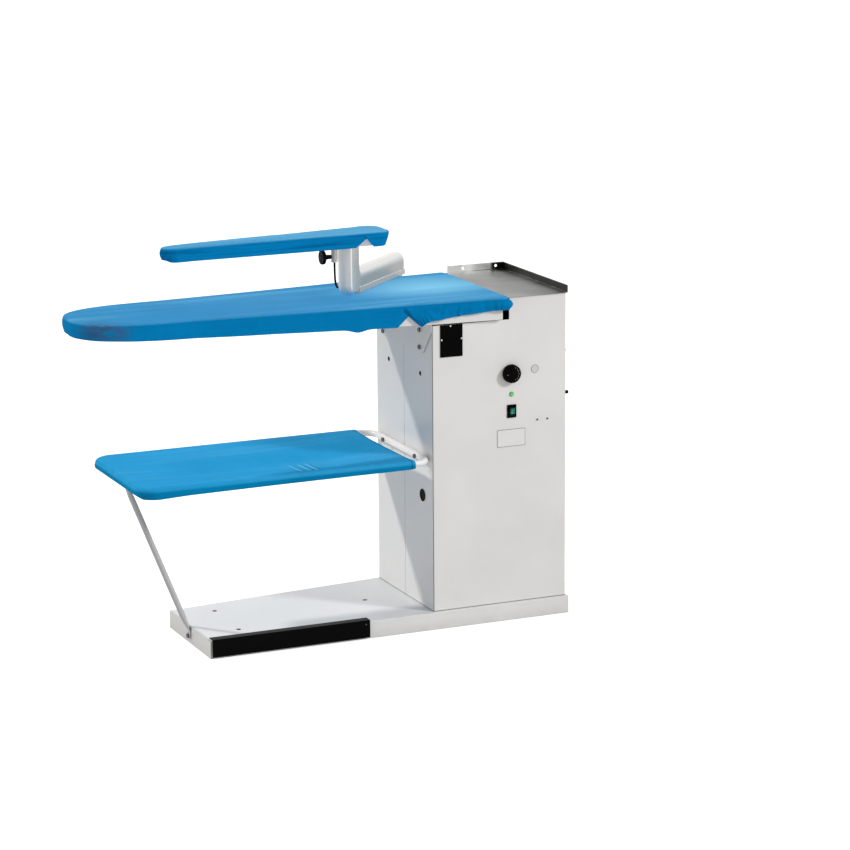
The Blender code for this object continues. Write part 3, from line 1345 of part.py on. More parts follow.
def make_arm():
    """The hollow arm, column and duct in one, with the folded lip under the duct."""
    outline = arm_outline()
    half = ARM_WIDTH / 2
    made = put("arm_duct", rounded_slab(outline, half, ARM_EDGE), GREY_PAINT, ARM_PIVOT, smooth=True)
    sheet = ARM_SHEET
    cut(made, rounded_slab(inset(outline, sheet), half - sheet, ARM_EDGE - sheet), ARM_PIVOT)
    wide = COLUMN_LONG
    corners = [(-wide, -wide), (wide, -wide), (wide, wide), (-wide, wide)]
    top = [[arm_point(s, w, z) for s, w in corners] for z in (COLUMN_TOP, COLUMN_TOP + 2 * COLUMN_LONG)]
    cut(made, skin(top), ARM_PIVOT)
    bore = PIPE_RADIUS + PIPE_FIT
    depth = ARM_HEIGHT / 2
    floor = UP * (ARM_BOTTOM - OVERRUN)
    cut(made, turned([(bore, 0), (bore, depth)], floor, UP), ARM_PIVOT)
    start = COLUMN_LONG / 2 + LIP_RUN + GAP
    end = ARM_REACH + ARM_END - LIP_END
    inner = half + GAP
    outer = inner + LIP_SHEET
    rim = ARM_BOTTOM + LIP_HEIGHT
    tread = ARM_BOTTOM + LIP_SHEET
    section = [(-outer, ARM_BOTTOM), (outer, ARM_BOTTOM), (outer, rim), (inner, rim),
               (inner, tread), (-inner, tread), (-inner, rim), (-outer, rim)]
    rows = [[arm_point(s, w, z) for w, z in section] for s in (start, end)]
    lip = put("arm_duct_lip", skin(rows), GREY_PAINT, ARM_PIVOT)
    cut(lip, turned([(bore, 0), (bore, depth)], floor, UP), ARM_PIVOT)


def clamp_axis():
    """Where the clamp tube stands, measured from the pivot."""
    away = -(ARM_WIDTH / 2 + CLAMP_TUBE_RADIUS + CLAMP_STAND_OFF)
    return arm_point(CLAMP_ALONG, away, 0)


def make_clamp():
    """The tube beside the column, the rod in it, the screw knob and the heater's lead."""
    axis = clamp_axis()
    foot = COLUMN_TOP - CLAMP_TUBE_LENGTH
    ring = [(CLAMP_BORE, 0), (CLAMP_TUBE_RADIUS, 0), (CLAMP_TUBE_RADIUS, CLAMP_TUBE_LENGTH),
            (CLAMP_BORE, CLAMP_TUBE_LENGTH)]
    holder = turned(ring, axis + UP * foot, UP, loop=True)
    tube = put("sleeve_clamp_tube", holder, GREY_PAINT, ARM_PIVOT, smooth=True)
    near = -(ARM_WIDTH / 2 + GAP)
    far = near - CLAMP_STAND_OFF - (CLAMP_TUBE_RADIUS - CLAMP_BORE) * CLAMP_WEB_SINK_SHARE
    web_low = foot + (CLAMP_TUBE_LENGTH - CLAMP_WEB_TALL) / 2
    plan = rectangle(CLAMP_ALONG - CLAMP_WEB / 2, far, CLAMP_ALONG + CLAMP_WEB, near)
    web = [[arm_point(s, w, z) for s, w in plan] for z in (web_low, web_low + CLAMP_WEB_TALL)]
    join(tube, skin(web), ARM_PIVOT)
    knob_z = COLUMN_TOP - CLAMP_KNOB_DROP
    seat = axis + UP * knob_z
    screw = CLAMP_SCREW_RADIUS + GAP
    bore = turned([(screw, 0), (screw, 2 * CLAMP_TUBE_RADIUS)], seat, -EAST, facets=BOLT_FACETS)
    cut(tube, bore, ARM_PIVOT)
    rod_foot = COLUMN_TOP - CLAMP_ROD_LENGTH
    rod = [(CLAMP_ROD_RADIUS, 0), (CLAMP_ROD_RADIUS, CLAMP_ROD_LENGTH)]
    put("sleeve_rod", turned(rod, axis + UP * rod_foot, UP), PLATED_STEEL, ARM_PIVOT, smooth=True)
    start = CLAMP_ROD_RADIUS + GAP
    neck = CLAMP_TUBE_RADIUS + GAP
    head = neck + CLAMP_NECK_LENGTH
    edge = head + CLAMP_KNOB_THICK
    flat = CLAMP_KNOB_RADIUS - CLAMP_KNOB_ROUND
    profile = [(CLAMP_SCREW_RADIUS, start), (CLAMP_SCREW_RADIUS, neck), (CLAMP_NECK_RADIUS, neck),
               (CLAMP_NECK_RADIUS, head), (flat, head), (CLAMP_KNOB_RADIUS, head + CLAMP_KNOB_ROUND),
               (CLAMP_KNOB_RADIUS, edge - CLAMP_KNOB_ROUND), (flat, edge)]
    knob = turned(profile, seat, -EAST)
    put("sleeve_clamp_knob", knob, BLACK_PLASTIC, ARM_PIVOT, origin=seat, smooth=True)
    make_lead(axis, foot)


def make_lead(axis, foot):
    """The black lead from the clamp tube's foot down into the side of the column."""
    top = axis + UP * (foot - GAP)
    side = -(ARM_WIDTH / 2 + GAP)
    end = arm_point(CLAMP_ALONG * LEAD_END_SHARE, side, foot - LEAD_END_DROP)
    drop = (top.z - end.z) / 2
    near = end - ACROSS * (2 * LEAD_RADIUS)
    controls = [top, top - UP * drop, near - ACROSS * LEAD_SWING + UP * LEAD_SWING, near]
    points = []
    for k in range(LEAD_POINTS + 1):
        t = k / LEAD_POINTS
        weights = ((1 - t) ** 3, 3 * t * (1 - t) ** 2, 3 * t * t * (1 - t), t ** 3)
        points.append(sum((c * w for c, w in zip(controls, weights)), Vector()))
    points.append(end)
    put("sleeve_lead", skin(path_rings(points, LEAD_RADIUS, 10)), BLACK_RUBBER, ARM_PIVOT, smooth=True)


# Sleeve board
def sleeve_rise(x):
    """How far the sleeve board's underside has risen: level at the column, up towards the tip."""
    tip = SLEEVE_ROOT - SLEEVE_LENGTH
    return SLEEVE_TIP_RISE * max(0.0, (-SLEEVE_LEVEL - x) / (-SLEEVE_LEVEL - tip))


def make_sleeve_board():
    """The sleeve board on the column: shell, perforated plate, pad and cover."""
    pad_top = SLEEVE_TOP - COVER_THICK - GAP
    pad_low = pad_top - SLEEVE_PAD
    plate_top = pad_low - GAP
    plate_low = plate_top - SLEEVE_PLATE
    rim = plate_low - GAP
    plan = sleeve_outline(UNDER_COVER + SLEEVE_SHELL_SETBACK)
    body = pan(plan, SLEEVE_SHELL_FLOOR, rim, SLEEVE_SHELL_SHEET)
    raise_floor(body, -SLEEVE_LEVEL, (SLEEVE_SHELL_FLOOR + rim) / 2, sleeve_rise)
    shell = put("sleeve_shell", body, GREY_PAINT, SLEEVE_SEAT)
    angle = math.atan2(ALONG.y, ALONG.x) - math.radians(SLEEVE_TURN)
    mouth = []
    for s, w in rectangle(-COLUMN_LONG / 3, -ARM_WIDTH / 3, COLUMN_LONG / 3, ARM_WIDTH / 3):
        mouth.append((s * math.cos(angle) - w * math.sin(angle), s * math.sin(angle) + w * math.cos(angle)))
    through = SLEEVE_SHELL_FLOOR + SLEEVE_SHELL_SHEET + OVERRUN
    cut(shell, prism(mouth, SLEEVE_SHELL_FLOOR - OVERRUN, through), SLEEVE_SEAT)
    plan = sleeve_outline(UNDER_COVER)
    plate = put("sleeve_plate", prism(plan, plate_low, plate_top), PLATED_STEEL, SLEEVE_SEAT)
    holes = bmesh.new()
    for k in range(SLEEVE_HOLES):
        x = SLEEVE_ROOT - SLEEVE_LENGTH * (k + 1) / (SLEEVE_HOLES + 1)
        hole((x, 0, plate_top), UP, SLEEVE_HOLE_RADIUS, 2 * (SLEEVE_PLATE + OVERRUN), holes, 8)
    cut(plate, holes, SLEEVE_SEAT)
    put("sleeve_pad", padding(plan, pad_low, pad_top, SLEEVE_EDGE), FOAM, SLEEVE_SEAT)
    make_sleeve_cover()


def make_sleeve_cover():
    """The sleeve board's cloth, notched on both sides beside the column."""
    def hem(point):
        """The hem, raised into the notch."""
        low = SLEEVE_TOP - SLEEVE_DEPTH + sleeve_rise(point.x)
        if point.x < SLEEVE_NOTCH_START or point.x > SLEEVE_NOTCH_END:
            return low
        foot = SLEEVE_NOTCH_START if point.x < SLEEVE_NOTCH_APEX else SLEEVE_NOTCH_END
        return low + SLEEVE_NOTCH_RISE * (point.x - foot) / (SLEEVE_NOTCH_APEX - foot)

    def tuck(point):
        """The hem is drawn in under the shell, but not in the notch."""
        inside = SLEEVE_NOTCH_START - NOTCH_LEAD < point.x < SLEEVE_NOTCH_END + NOTCH_LEAD
        return COVER_FREE_TUCK if inside else SLEEVE_TUCK

    def spacing(point):
        """Close points beside the column."""
        near = SLEEVE_NOTCH_START - SLEEVE_STEP < point.x < SLEEVE_NOTCH_END + SLEEVE_STEP
        return SLEEVE_FINE_STEP if near else SLEEVE_STEP

    breaks = (SLEEVE_NOTCH_START - 2 * NOTCH_LEAD, SLEEVE_NOTCH_START - NOTCH_LEAD / 2,
              SLEEVE_NOTCH_START, SLEEVE_NOTCH_APEX, SLEEVE_NOTCH_END,
              SLEEVE_NOTCH_END + NOTCH_LEAD / 2, SLEEVE_NOTCH_END + 2 * NOTCH_LEAD)
    places = stations(sleeve_outline(0.0), breaks, spacing)
    shape = cover(places, SLEEVE_TOP, SLEEVE_EDGE, hem, tuck, lambda point: 0.0)
    put("sleeve_cover", shape, BLUE_CLOTH, SLEEVE_SEAT, smooth=True)


# Controls
def make_thermostat():
    """The thermostat behind the panel with its spindle, and its knob."""
    behind = CAB_FRONT + SHELL_SHEET + GAP
    half = THERMOSTAT_SIDE / 2
    body = block((KNOB_X - half, behind, KNOB_Z - half),
                 (KNOB_X + half, behind + THERMOSTAT_DEPTH, KNOB_Z + half))
    made = put("thermostat_body", body, PALE_PLASTIC)
    axis = Vector((KNOB_X, behind, KNOB_Z))
    spindle = [(SPINDLE_RADIUS, -THERMOSTAT_DEPTH / 2), (SPINDLE_RADIUS, SPINDLE_REACH)]
    join(made, turned(spindle, axis, -NORTH, facets=BOLT_FACETS))
    seat = Vector((KNOB_X, CAB_FRONT - KNOB_STAND_OFF, KNOB_Z))
    bore = SPINDLE_RADIUS + GAP
    depth = SPINDLE_REACH
    profile = [(bore, depth), (bore, 0), (KNOB_RADIUS - KNOB_ROUND, 0), (KNOB_RADIUS, KNOB_ROUND / 2),
               (KNOB_RADIUS - KNOB_ROUND / 3, KNOB_THICK - KNOB_ROUND),
               (KNOB_RADIUS - KNOB_ROUND, KNOB_THICK)]
    knob = turned(profile, seat, -NORTH, facets=KNOB_FACETS)
    put("thermostat_knob", knob, BLACK_PLASTIC, origin=seat, smooth=True)


def make_lamp():
    """The green pilot lamp in its hole."""
    seat = Vector((LAMP_X, CAB_FRONT - GAP, LAMP_Z))
    profile = [(LAMP_STEM, -LAMP_STEM_LONG), (LAMP_STEM, 0), (LAMP_RADIUS, 0)]
    profile += [(LAMP_RADIUS * wide, LAMP_PROUD * tall) for wide, tall in LAMP_DOME_SHARES]
    put("pilot_lamp", turned(profile, seat, -NORTH), GREEN_LENS, smooth=True)


def make_power_switch():
    """The rocker switch: a bezel with its body behind the panel, and the rocker in its pocket."""
    face = CAB_FRONT - GAP
    wide = BEZEL_WIDE / 2
    tall = BEZEL_TALL / 2
    less = BEZEL_BODY_INSET
    flange = block((SWITCH_X - wide, face - BEZEL_PROUD, SWITCH_Z - tall),
                   (SWITCH_X + wide, face, SWITCH_Z + tall))
    bezel = put("switch_bezel", flange, BLACK_PLASTIC)
    join(bezel, block((SWITCH_X - wide + less, face - BEZEL_PROUD / 2, SWITCH_Z - tall + less),
                      (SWITCH_X + wide - less, face + BEZEL_BODY, SWITCH_Z + tall - less)))
    rim = BEZEL_RIM
    cut(bezel, block((SWITCH_X - wide + rim, face - BEZEL_PROUD - OVERRUN, SWITCH_Z - tall + rim),
                     (SWITCH_X + wide - rim, face + BEZEL_POCKET, SWITCH_Z + tall - rim)))
    pivot = Vector((SWITCH_X, face, SWITCH_Z))
    half = tall - rim - ROCKER_FIT
    front = -(BEZEL_PROUD + ROCKER_PROUD)
    dip = half * math.tan(math.radians(ROCKER_TILT))
    end = half * ROCKER_END_SHARE
    section = [(front, -half), (front + dip, 0), (front, half), (ROCKER_BODY / 2, end),
               (ROCKER_BODY, 0), (ROCKER_BODY / 2, -end)]
    lean = math.radians(ROCKER_TILT)
    leaned = [(y * math.cos(lean) - z * math.sin(lean), y * math.sin(lean) + z * math.cos(lean))
              for y, z in section]
    rows = []
    for x in (-(wide - rim - ROCKER_FIT), wide - rim - ROCKER_FIT):
        rows.append([pivot + Vector((x, y, z)) for y, z in leaned])
    put("switch_rocker", skin(rows), GREEN_ROCKER, origin=pivot)


def make_panel_fittings():
    """The black plate on the front, and the plug and gland on the right side."""
    face = CAB_FRONT - GAP
    top = STEP_TOP
    plate = block((ACCESSORY_X, face - ACCESSORY_THICK, top - ACCESSORY_TALL),
                  (ACCESSORY_X + ACCESSORY_WIDE, face, top))
    put("accessory_plate", plate, BLACK_PAINT)
    y = CAB_FRONT + PORT_SETBACK
    plug = [(PLUG_STEM, -PORT_GRIP), (PLUG_STEM, GAP), (PLUG_RADIUS, GAP)]
    plug += [(PLUG_RADIUS * wide, PLUG_PROUD * tall) for wide, tall in PLUG_DOME_SHARES]
    put("side_plug", turned(plug, (CAB_RIGHT, y, PLUG_Z), EAST), PALE_PLASTIC, smooth=True)
    gland = [(GLAND_STEM, -PORT_GRIP), (GLAND_STEM, GAP), (GLAND_RADIUS, GAP),
             (GLAND_RADIUS, GLAND_PROUD * GLAND_NUT_SHARE),
             (GLAND_NOSE, GLAND_PROUD * GLAND_NECK_SHARE), (GLAND_NOSE, GLAND_PROUD)]
    put("cable_gland", turned(gland, (CAB_RIGHT, y, GLAND_Z), EAST), BLACK_PLASTIC, smooth=True)


# Lower tray
def lower_seats():
    """Where the lower frame's two bolts sit, in front and behind."""
    x = LOWER_RIGHT - LOWER_TUBE
    setbacks = (LOWER_BOLT_FRONT, CABINET_DEPTH - LOWER_BOLT_REAR_MARGIN)
    return [Vector((x, CAB_FRONT + setback, LOWER_AXIS_Z)) for setback in setbacks]


def strut_top_seat():
    """Where the strut's upper bolt goes through the loop's left member, on its inner side."""
    return Vector((LOWER_LEFT + LOWER_TUBE, STRUT_HIGH_Y, LOWER_AXIS_Z))


def make_lower_frame():
    """The closed loop of tube, bolted to the cabinet's side."""
    corners = rectangle(LOWER_LEFT, LOWER_FRONT, LOWER_RIGHT, LOWER_REAR)
    plan = rounded(corners, [LOWER_BEND] * 4, LOWER_BEND_STEPS)
    points = [Vector((x, y, LOWER_AXIS_Z)) for x, y in plan]
    shape = skin(path_rings(points, LOWER_TUBE, PIPE_FACETS, closed=True), loop=True)
    made = put("lower_frame", shape, WHITE_PAINT, smooth=True)
    holes = bmesh.new()
    for seat in lower_seats():
        hole(seat, EAST, BOLT_SHANK + GAP, 6 * LOWER_TUBE, holes, BOLT_FACETS)
    hole(strut_top_seat(), EAST, BOLT_SHANK + GAP, 6 * LOWER_TUBE, holes, BOLT_FACETS)
    cut(made, holes)
    for name, seat in zip(("front", "rear"), lower_seats()):
        bolt(f"lower_frame_bolt_{name}", seat, -EAST, 2 * LOWER_TUBE + BOLT_GRIP)


def make_lower_cloth():
    """The blue cloth sewn round three sides of the loop, sagging a little between the tubes."""
    thick = COVER_THICK
    edge = LOWER_CLOTH_EDGE
    reach = LOWER_TUBE + GAP + thick
    corners = rectangle(LOWER_LEFT - reach, LOWER_FRONT - reach, LOWER_RIGHT + reach, LOWER_REAR + reach)
    outline = rounded(corners, [LOWER_BEND + reach] * 4, LOWER_BEND_STEPS)
    places = stations(outline, (), level(LOWER_CLOTH_STEP))
    middle = Vector(((LOWER_LEFT + LOWER_RIGHT) / 2, (LOWER_FRONT + LOWER_REAR) / 2))
    top = LOWER_AXIS_Z + reach

    def hem(point):
        """The hem's height: close under the tube at the left end, hanging a little along the sides."""
        along = (point.x - LOWER_LEFT + reach) / (LOWER_BEND + reach)
        return LOWER_AXIS_Z - reach - LOWER_CLOTH_HANG * min(1.0, along)

    def sheet(depth):
        """The rings of the sagging top sheet, from its edge towards the middle."""
        rings = [(reach, 1.0, 0.0)]
        rings += [(reach, share, LOWER_CLOTH_SAG * sag) for share, sag in LOWER_CLOTH_SAG_SHARES]
        return [[Vector((*(middle + (point - normal * margin - middle) * share), top - depth - sag))
                 for point, normal in places] for margin, share, sag in rings]

    def around(offset, height):
        """One ring round the tube."""
        return [Vector((*(point - normal * offset), height(point))) for point, normal in places]

    bevel = edge * EDGE_ROUND_SHARE
    outer = [around(edge, level(top)), around(bevel, level(top - bevel)), around(0, level(top - edge)),
             around(0, lambda p: hem(p) + edge), around(bevel, lambda p: hem(p) + bevel),
             around(edge, hem), around(LOWER_CLOTH_TUCK, hem)]
    inner = [around(LOWER_CLOTH_TUCK, lambda p: hem(p) + thick), around(edge, lambda p: hem(p) + thick),
             around(thick, lambda p: hem(p) + edge), around(thick, level(top - edge)),
             around(edge, level(top - thick))]
    shape = skin(sheet(0)[::-1] + outer + inner + sheet(thick))
    made = put("lower_cloth", shape, BLUE_CLOTH, smooth=True)
    beyond = LOWER_RIGHT + 2 * reach
    low = (LOWER_CLOTH_END, LOWER_FRONT - 2 * reach, LOWER_AXIS_Z - 2 * reach)
    cut(made, block(low, (beyond, LOWER_REAR + 2 * reach, LOWER_AXIS_Z + 2 * reach)))


def make_strut():
    """The tube from the base's left wall to the loop, flattened where it is bolted."""
    low = Vector((-GAP - STRUT_FLAT, STRUT_LOW_Y, STRUT_BOLT_Z))
    high = strut_top_seat() + EAST * (GAP + STRUT_FLAT)
    rise = high.z - low.z
    stops = list(STRUT_END_SHARES) + [(1 - share, flat) for share, flat in reversed(STRUT_END_SHARES)]
    rings = []
    for share, flat in stops:
        straight = (share - STRUT_STRAIGHT_SHARE) / (1 - 2 * STRUT_STRAIGHT_SHARE)
        centre = low.lerp(high, min(max(straight, 0.0), 1.0))
        centre.z = low.z + rise * share
        thin = STRUT_RADIUS * (1 - flat) + STRUT_FLAT * flat
        broad = STRUT_RADIUS * (1 - flat) + STRUT_FLARE * flat
        angles = [2 * math.pi * k / STRUT_FACETS for k in range(STRUT_FACETS)]
        rings.append([centre + EAST * (thin * math.cos(a)) + NORTH * (broad * math.sin(a)) for a in angles])
    made = put("strut", skin(rings), WHITE_PAINT, smooth=True)
    holes = hole(low, EAST, BOLT_SHANK + GAP, 6 * STRUT_FLAT, facets=12)
    hole(high, EAST, BOLT_SHANK + GAP, 6 * STRUT_FLAT, holes, 12)
    cut(made, holes)
    bolt("strut_bolt_low", low - EAST * STRUT_FLAT, -EAST, 2 * STRUT_FLAT + STRUT_BOLT_GRIP)
    bolt("strut_bolt_high", high + EAST * STRUT_FLAT, EAST, 2 * STRUT_FLAT + 2 * LOWER_TUBE - 2 * GAP)


def centre_table():
    """Moves the root so that the origin lies on the floor under the middle of the whole table."""
    bpy.context.view_layer.update()
    corners = []
    for made in bpy.data.objects:
        if made.type == "MESH" and not made.hide_render:
            corners += [made.matrix_world @ Vector(corner) for corner in made.bound_box]
    for axis in range(2):
        places = [corner[axis] for corner in corners]
        ROOT.location[axis] = -(min(places) + max(places)) / 2


make_base_pan()
make_pedal_mechanism(make_foot_pedal())
make_front_shell()
make_rear_shell()
make_side_grommet()
make_inner_frame()
make_fan_deck()
make_motor()
make_scroll()
make_rotor()
make_ducts()
make_plenum()
make_plate_and_pad()
make_board_cover()
make_bracket()
make_iron_tray()
make_arm_pivot()
make_arm()
make_clamp()
make_sleeve_board()
make_thermostat()
make_lamp()
make_power_switch()
make_panel_fittings()
make_lower_frame()
make_lower_cloth()
make_strut()
centre_table()
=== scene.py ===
"""A vacuum ironing table: its enamel, cloth, castings and controls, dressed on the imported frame.

The frame gives every size and place. The classes below are the table's own sub-assemblies: each
holds its sizes, builds its meshes and gives them their finish.
"""

import functools
import logging
import math
from dataclasses import dataclass, field
from enum import Enum
from typing import Callable, Optional, Sequence, Union

import bmesh
import bpy
from mathutils import Matrix, Vector, noise


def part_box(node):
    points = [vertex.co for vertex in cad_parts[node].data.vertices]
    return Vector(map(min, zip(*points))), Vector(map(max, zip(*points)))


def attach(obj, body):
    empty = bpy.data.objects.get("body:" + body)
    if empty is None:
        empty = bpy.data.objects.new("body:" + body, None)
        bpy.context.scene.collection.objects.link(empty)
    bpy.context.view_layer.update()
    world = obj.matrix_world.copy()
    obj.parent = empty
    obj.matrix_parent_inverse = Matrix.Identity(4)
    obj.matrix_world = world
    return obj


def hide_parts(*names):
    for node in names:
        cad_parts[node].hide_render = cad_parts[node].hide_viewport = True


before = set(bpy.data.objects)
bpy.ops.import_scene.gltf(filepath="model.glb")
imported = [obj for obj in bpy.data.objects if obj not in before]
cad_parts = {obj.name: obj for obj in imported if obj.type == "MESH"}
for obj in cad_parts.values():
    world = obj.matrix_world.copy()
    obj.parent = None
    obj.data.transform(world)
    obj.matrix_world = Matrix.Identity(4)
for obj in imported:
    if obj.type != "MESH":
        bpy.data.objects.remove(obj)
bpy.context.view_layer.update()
LOG = logging.getLogger("ironing_table")

Piece = bpy.types.Object
Socket = bpy.types.NodeSocket
Rgb = tuple[float, float, float]
Spot = tuple[Rgb, float, float]
Heights = tuple[tuple[float, float], ...]
Number = Union["Signal", float]
Test = Callable[[Vector, Vector], bool]

EAST = Vector((1, 0, 0))
NORTH = Vector((0, 1, 0))
UP = Vector((0, 0, 1))
PANEL_Y = -0.2145881
GAP = 0.0003
BASE_CORNER = Vector((-0.396, -0.2255881, 0.0))
SOFTEN = math.radians(38)
ARRIS = math.radians(30)
FACING = 0.9
QUARTER = math.pi / 2


# ---------------------------------------------------------------- shader writing
def operator(operation: str, swapped: bool = False) -> Callable[["Signal", Number], "Signal"]:
    """Makes a method that works out one sum with a Math node.

    Args:
        operation: The node's operation.
        swapped: Whether the method's own number comes second.

    Returns:
        The method.
    """
    def work(self: "Signal", other: Number = 0.0) -> "Signal":
        """The result of the sum, as a new number."""
        first, second = (other, self) if swapped else (self, other)
        inputs = {0: first, 1: second}
        return self.recipe.signal("ShaderNodeMath", 0, {"operation": operation}, inputs)
    return work


class Signal:
    """A number that varies over a surface: a value socket that can be used in sums."""

    def __init__(self, recipe: "Recipe", socket: Socket) -> None:
        """Wraps a socket.

        Args:
            recipe: The recipe whose tree the socket is in.
            socket: The output socket that gives the number.
        """
        self.recipe = recipe
        self.socket = socket

    __add__, __radd__ = operator("ADD"), operator("ADD", True)
    __sub__, __rsub__ = operator("SUBTRACT"), operator("SUBTRACT", True)
    __mul__, __rmul__ = operator("MULTIPLY"), operator("MULTIPLY", True)
    sine = operator("SINE")
    at_most = operator("MINIMUM")
    greater = operator("GREATER_THAN")


Entry = Union[Signal, Socket, float, tuple, str]


class Recipe:
    """The node tree of a material or a world, written as expressions."""

    def __init__(self, owner: Union[bpy.types.Material, bpy.types.World]) -> None:
        """Starts an empty recipe.

        Args:
            owner: The new material or world that it is for.
        """
        self.owner = owner
        owner.use_nodes = True
        self.tree = owner.node_tree
        self.tree.nodes.clear()

    def node(self, kind: str, settings: Optional[dict] = None,
             inputs: Optional[dict] = None) -> bpy.types.Node:
        """Adds a node.

        Args:
            kind: The node's type.
            settings: Its own settings, set first.
            inputs: The values or links of its sockets, by name or number.

        Returns:
            The node.
        """
        made = self.tree.nodes.new(kind)
        for key, value in (settings or {}).items():
            setattr(made, key, value)
        for key, value in (inputs or {}).items():
            value = value.socket if isinstance(value, Signal) else value
            if isinstance(value, Socket):
                self.tree.links.new(value, made.inputs[key])
            else:
                made.inputs[key].default_value = value
        return made

    def signal(self, kind: str, output: Union[int, str], settings: Optional[dict] = None,
               inputs: Optional[dict] = None) -> Signal:
        """Adds a node and returns one of its outputs as a number."""
        return Signal(self, self.node(kind, settings, inputs).outputs[output])

    def stretched(self, source: Socket, stretch: Rgb) -> Socket:
        """A place with each axis multiplied."""
        return self.node("ShaderNodeMapping", None, {"Vector": source, "Scale": stretch}).outputs[0]

    def place(self, stretch: Optional[Rgb] = None) -> Socket:
        """The place on the object, with each axis multiplied where a stretch is given."""
        source = self.node("ShaderNodeTexCoord").outputs["Object"]
        return self.stretched(source, stretch) if stretch else source

    def cloth_place(self, stretch: Rgb = (1, 1, 1)) -> Socket:
        """The place on the flat cloth in metres, from the piece's own map."""
        return self.stretched(self.node("ShaderNodeUVMap", {"uv_map": "cloth"}).outputs[0], stretch)

    def axes(self, vector: Socket) -> tuple[Signal, Signal, Signal]:
        """The three numbers of a vector."""
        made = self.node("ShaderNodeSeparateXYZ", None, {0: vector})
        return tuple(Signal(self, made.outputs[k]) for k in range(3))

    def noise(self, where: Socket, scale: float, detail: float = 2.0,
              rough: float = 0.5) -> Signal:
        """Soft noise from 0 to 1."""
        inputs = {"Vector": where, "Scale": scale, "Detail": detail, "Roughness": rough}
        return self.signal("ShaderNodeTexNoise", 0, None, inputs)

    def patches(self, where: Socket, scale: float, detail: float, rough: float,
                low: float, high: float) -> Signal:
        """Noise drawn out into patches: 0 under the low level and 1 over the high one."""
        return self.ramp(self.noise(where, scale, detail, rough), low, high)

    def cells(self, where: Socket, scale: float) -> Signal:
        """The distance to the nearest cell of a scattered pattern."""
        inputs = {"Vector": where, "Scale": scale}
        return self.signal("ShaderNodeTexVoronoi", "Distance", None, inputs)

    def ramp(self, value: Signal, low: float, high: float, start: float = 0.0,
             end: float = 1.0) -> Signal:
        """A smooth step from one number to another while the value goes from low to high."""
        inputs = {"Value": value, "From Min": low, "From Max": high, "To Min": start, "To Max": end}
        return self.signal("ShaderNodeMapRange", 0, {"interpolation_type": "SMOOTHSTEP"}, inputs)

    def fade(self, value: Signal, low: float, high: float) -> Signal:
        """A smooth step down: 1 under low and 0 over high."""
        return self.ramp(value, low, high, 1.0, 0.0)

    def within(self, value: Signal, low: float, high: float, soft: float) -> Signal:
        """1 between two limits and 0 outside them, with soft edges on the inner side."""
        return self.ramp(value, low, low + soft) * self.fade(value, high - soft, high)

    def stripe(self, away: Signal, reach: float) -> Signal:
        """A soft line: 1 where the distance is 0, and 0 where its square is past the reach."""
        return self.fade(away * away, 0.0, reach)

    def spot(self, where: Socket, centre: Rgb, radius: float) -> Signal:
        """A soft round patch: 1 at its centre and 0 past its radius."""
        inputs = {0: where, 1: centre}
        gap = self.signal("ShaderNodeVectorMath", "Value", {"operation": "DISTANCE"}, inputs)
        return self.fade(gap, 0.0, radius)

    def blend(self, factor: Number, first: Entry, second: Entry) -> Socket:
        """A colour between two colours."""
        ends = ((*end, 1) if isinstance(end, tuple) else end for end in (first, second))
        inputs = {0: factor, **dict(zip((6, 7), ends))}
        return self.node("ShaderNodeMix", {"data_type": "RGBA"}, inputs).outputs[2]

    def relief(self, height: Signal, metres: float, under: Optional[Socket] = None) -> Socket:
        """A bump whose height runs over the given distance."""
        inputs = {"Height": height, "Distance": metres, "Strength": 1.0}
        if under is not None:
            inputs["Normal"] = under
        return self.node("ShaderNodeBump", None, inputs).outputs[0]

    def surface(self, inputs: dict, painted_hole_shade: Optional[Signal] = None) -> bpy.types.Material:
        """Ends the material in a surface, mixed with a near-black matt shader as painted shade
        where a finish marks a hole.
        """
        shader = self.node("ShaderNodeBsdfPrincipled", None, inputs).outputs[0]
        if painted_hole_shade:
            # Painted shade: a near-black matt shader.
            dark = self.node("ShaderNodeBsdfDiffuse", None, {"Color": (0.003, 0.003, 0.003, 1)})
            mixed = {0: painted_hole_shade.at_most(1.0), 1: shader, 2: dark.outputs[0]}
            shader = self.node("ShaderNodeMixShader", None, mixed).outputs[0]
        self.node("ShaderNodeOutputMaterial", None, {0: shader})
        return self.owner


def tint(colour: Rgb, share: float, lift: float = 0.0) -> Rgb:
    """A colour multiplied by a share, and lifted."""
    return tuple(min(1.0, part * share + lift) for part in colour)


def grey(level: float) -> Rgb:
    """A plain grey."""
    return (level, level, level)


# ---------------------------------------------------------------- finishes
@dataclass(frozen=True)
class Finish:
    """The look of a surface. Each kind below writes its own recipe."""

    name: str
    colour: Rgb

    def write(self, recipe: Recipe, where: Socket) -> dict:
        """Writes the recipe of this kind of surface.

        Args:
            recipe: The recipe of the material, still empty.
            where: The place on the object.

        Returns:
            The inputs of its surface shader.
        """
        raise NotImplementedError

    def painted_hole_shade(self, recipe: Recipe, where: Socket) -> Optional[Signal]:
        """Where painted shade darkens the surface at a hole: nowhere, but for the kinds that say
        so.
        """
        return None

    def toned(self, recipe: Recipe, factor: Number, first: float, second: float) -> Socket:
        """The finish's own colour, between two depths."""
        return recipe.blend(factor, tint(self.colour, first), tint(self.colour, second))

    @functools.lru_cache(maxsize=None)
    def material(self) -> bpy.types.Material:
        """Builds the material once, and gives the same one again after that."""
        recipe = Recipe(bpy.data.materials.new(self.name))
        where = recipe.place()
        return recipe.surface(self.write(recipe, where), self.painted_hole_shade(recipe, where))


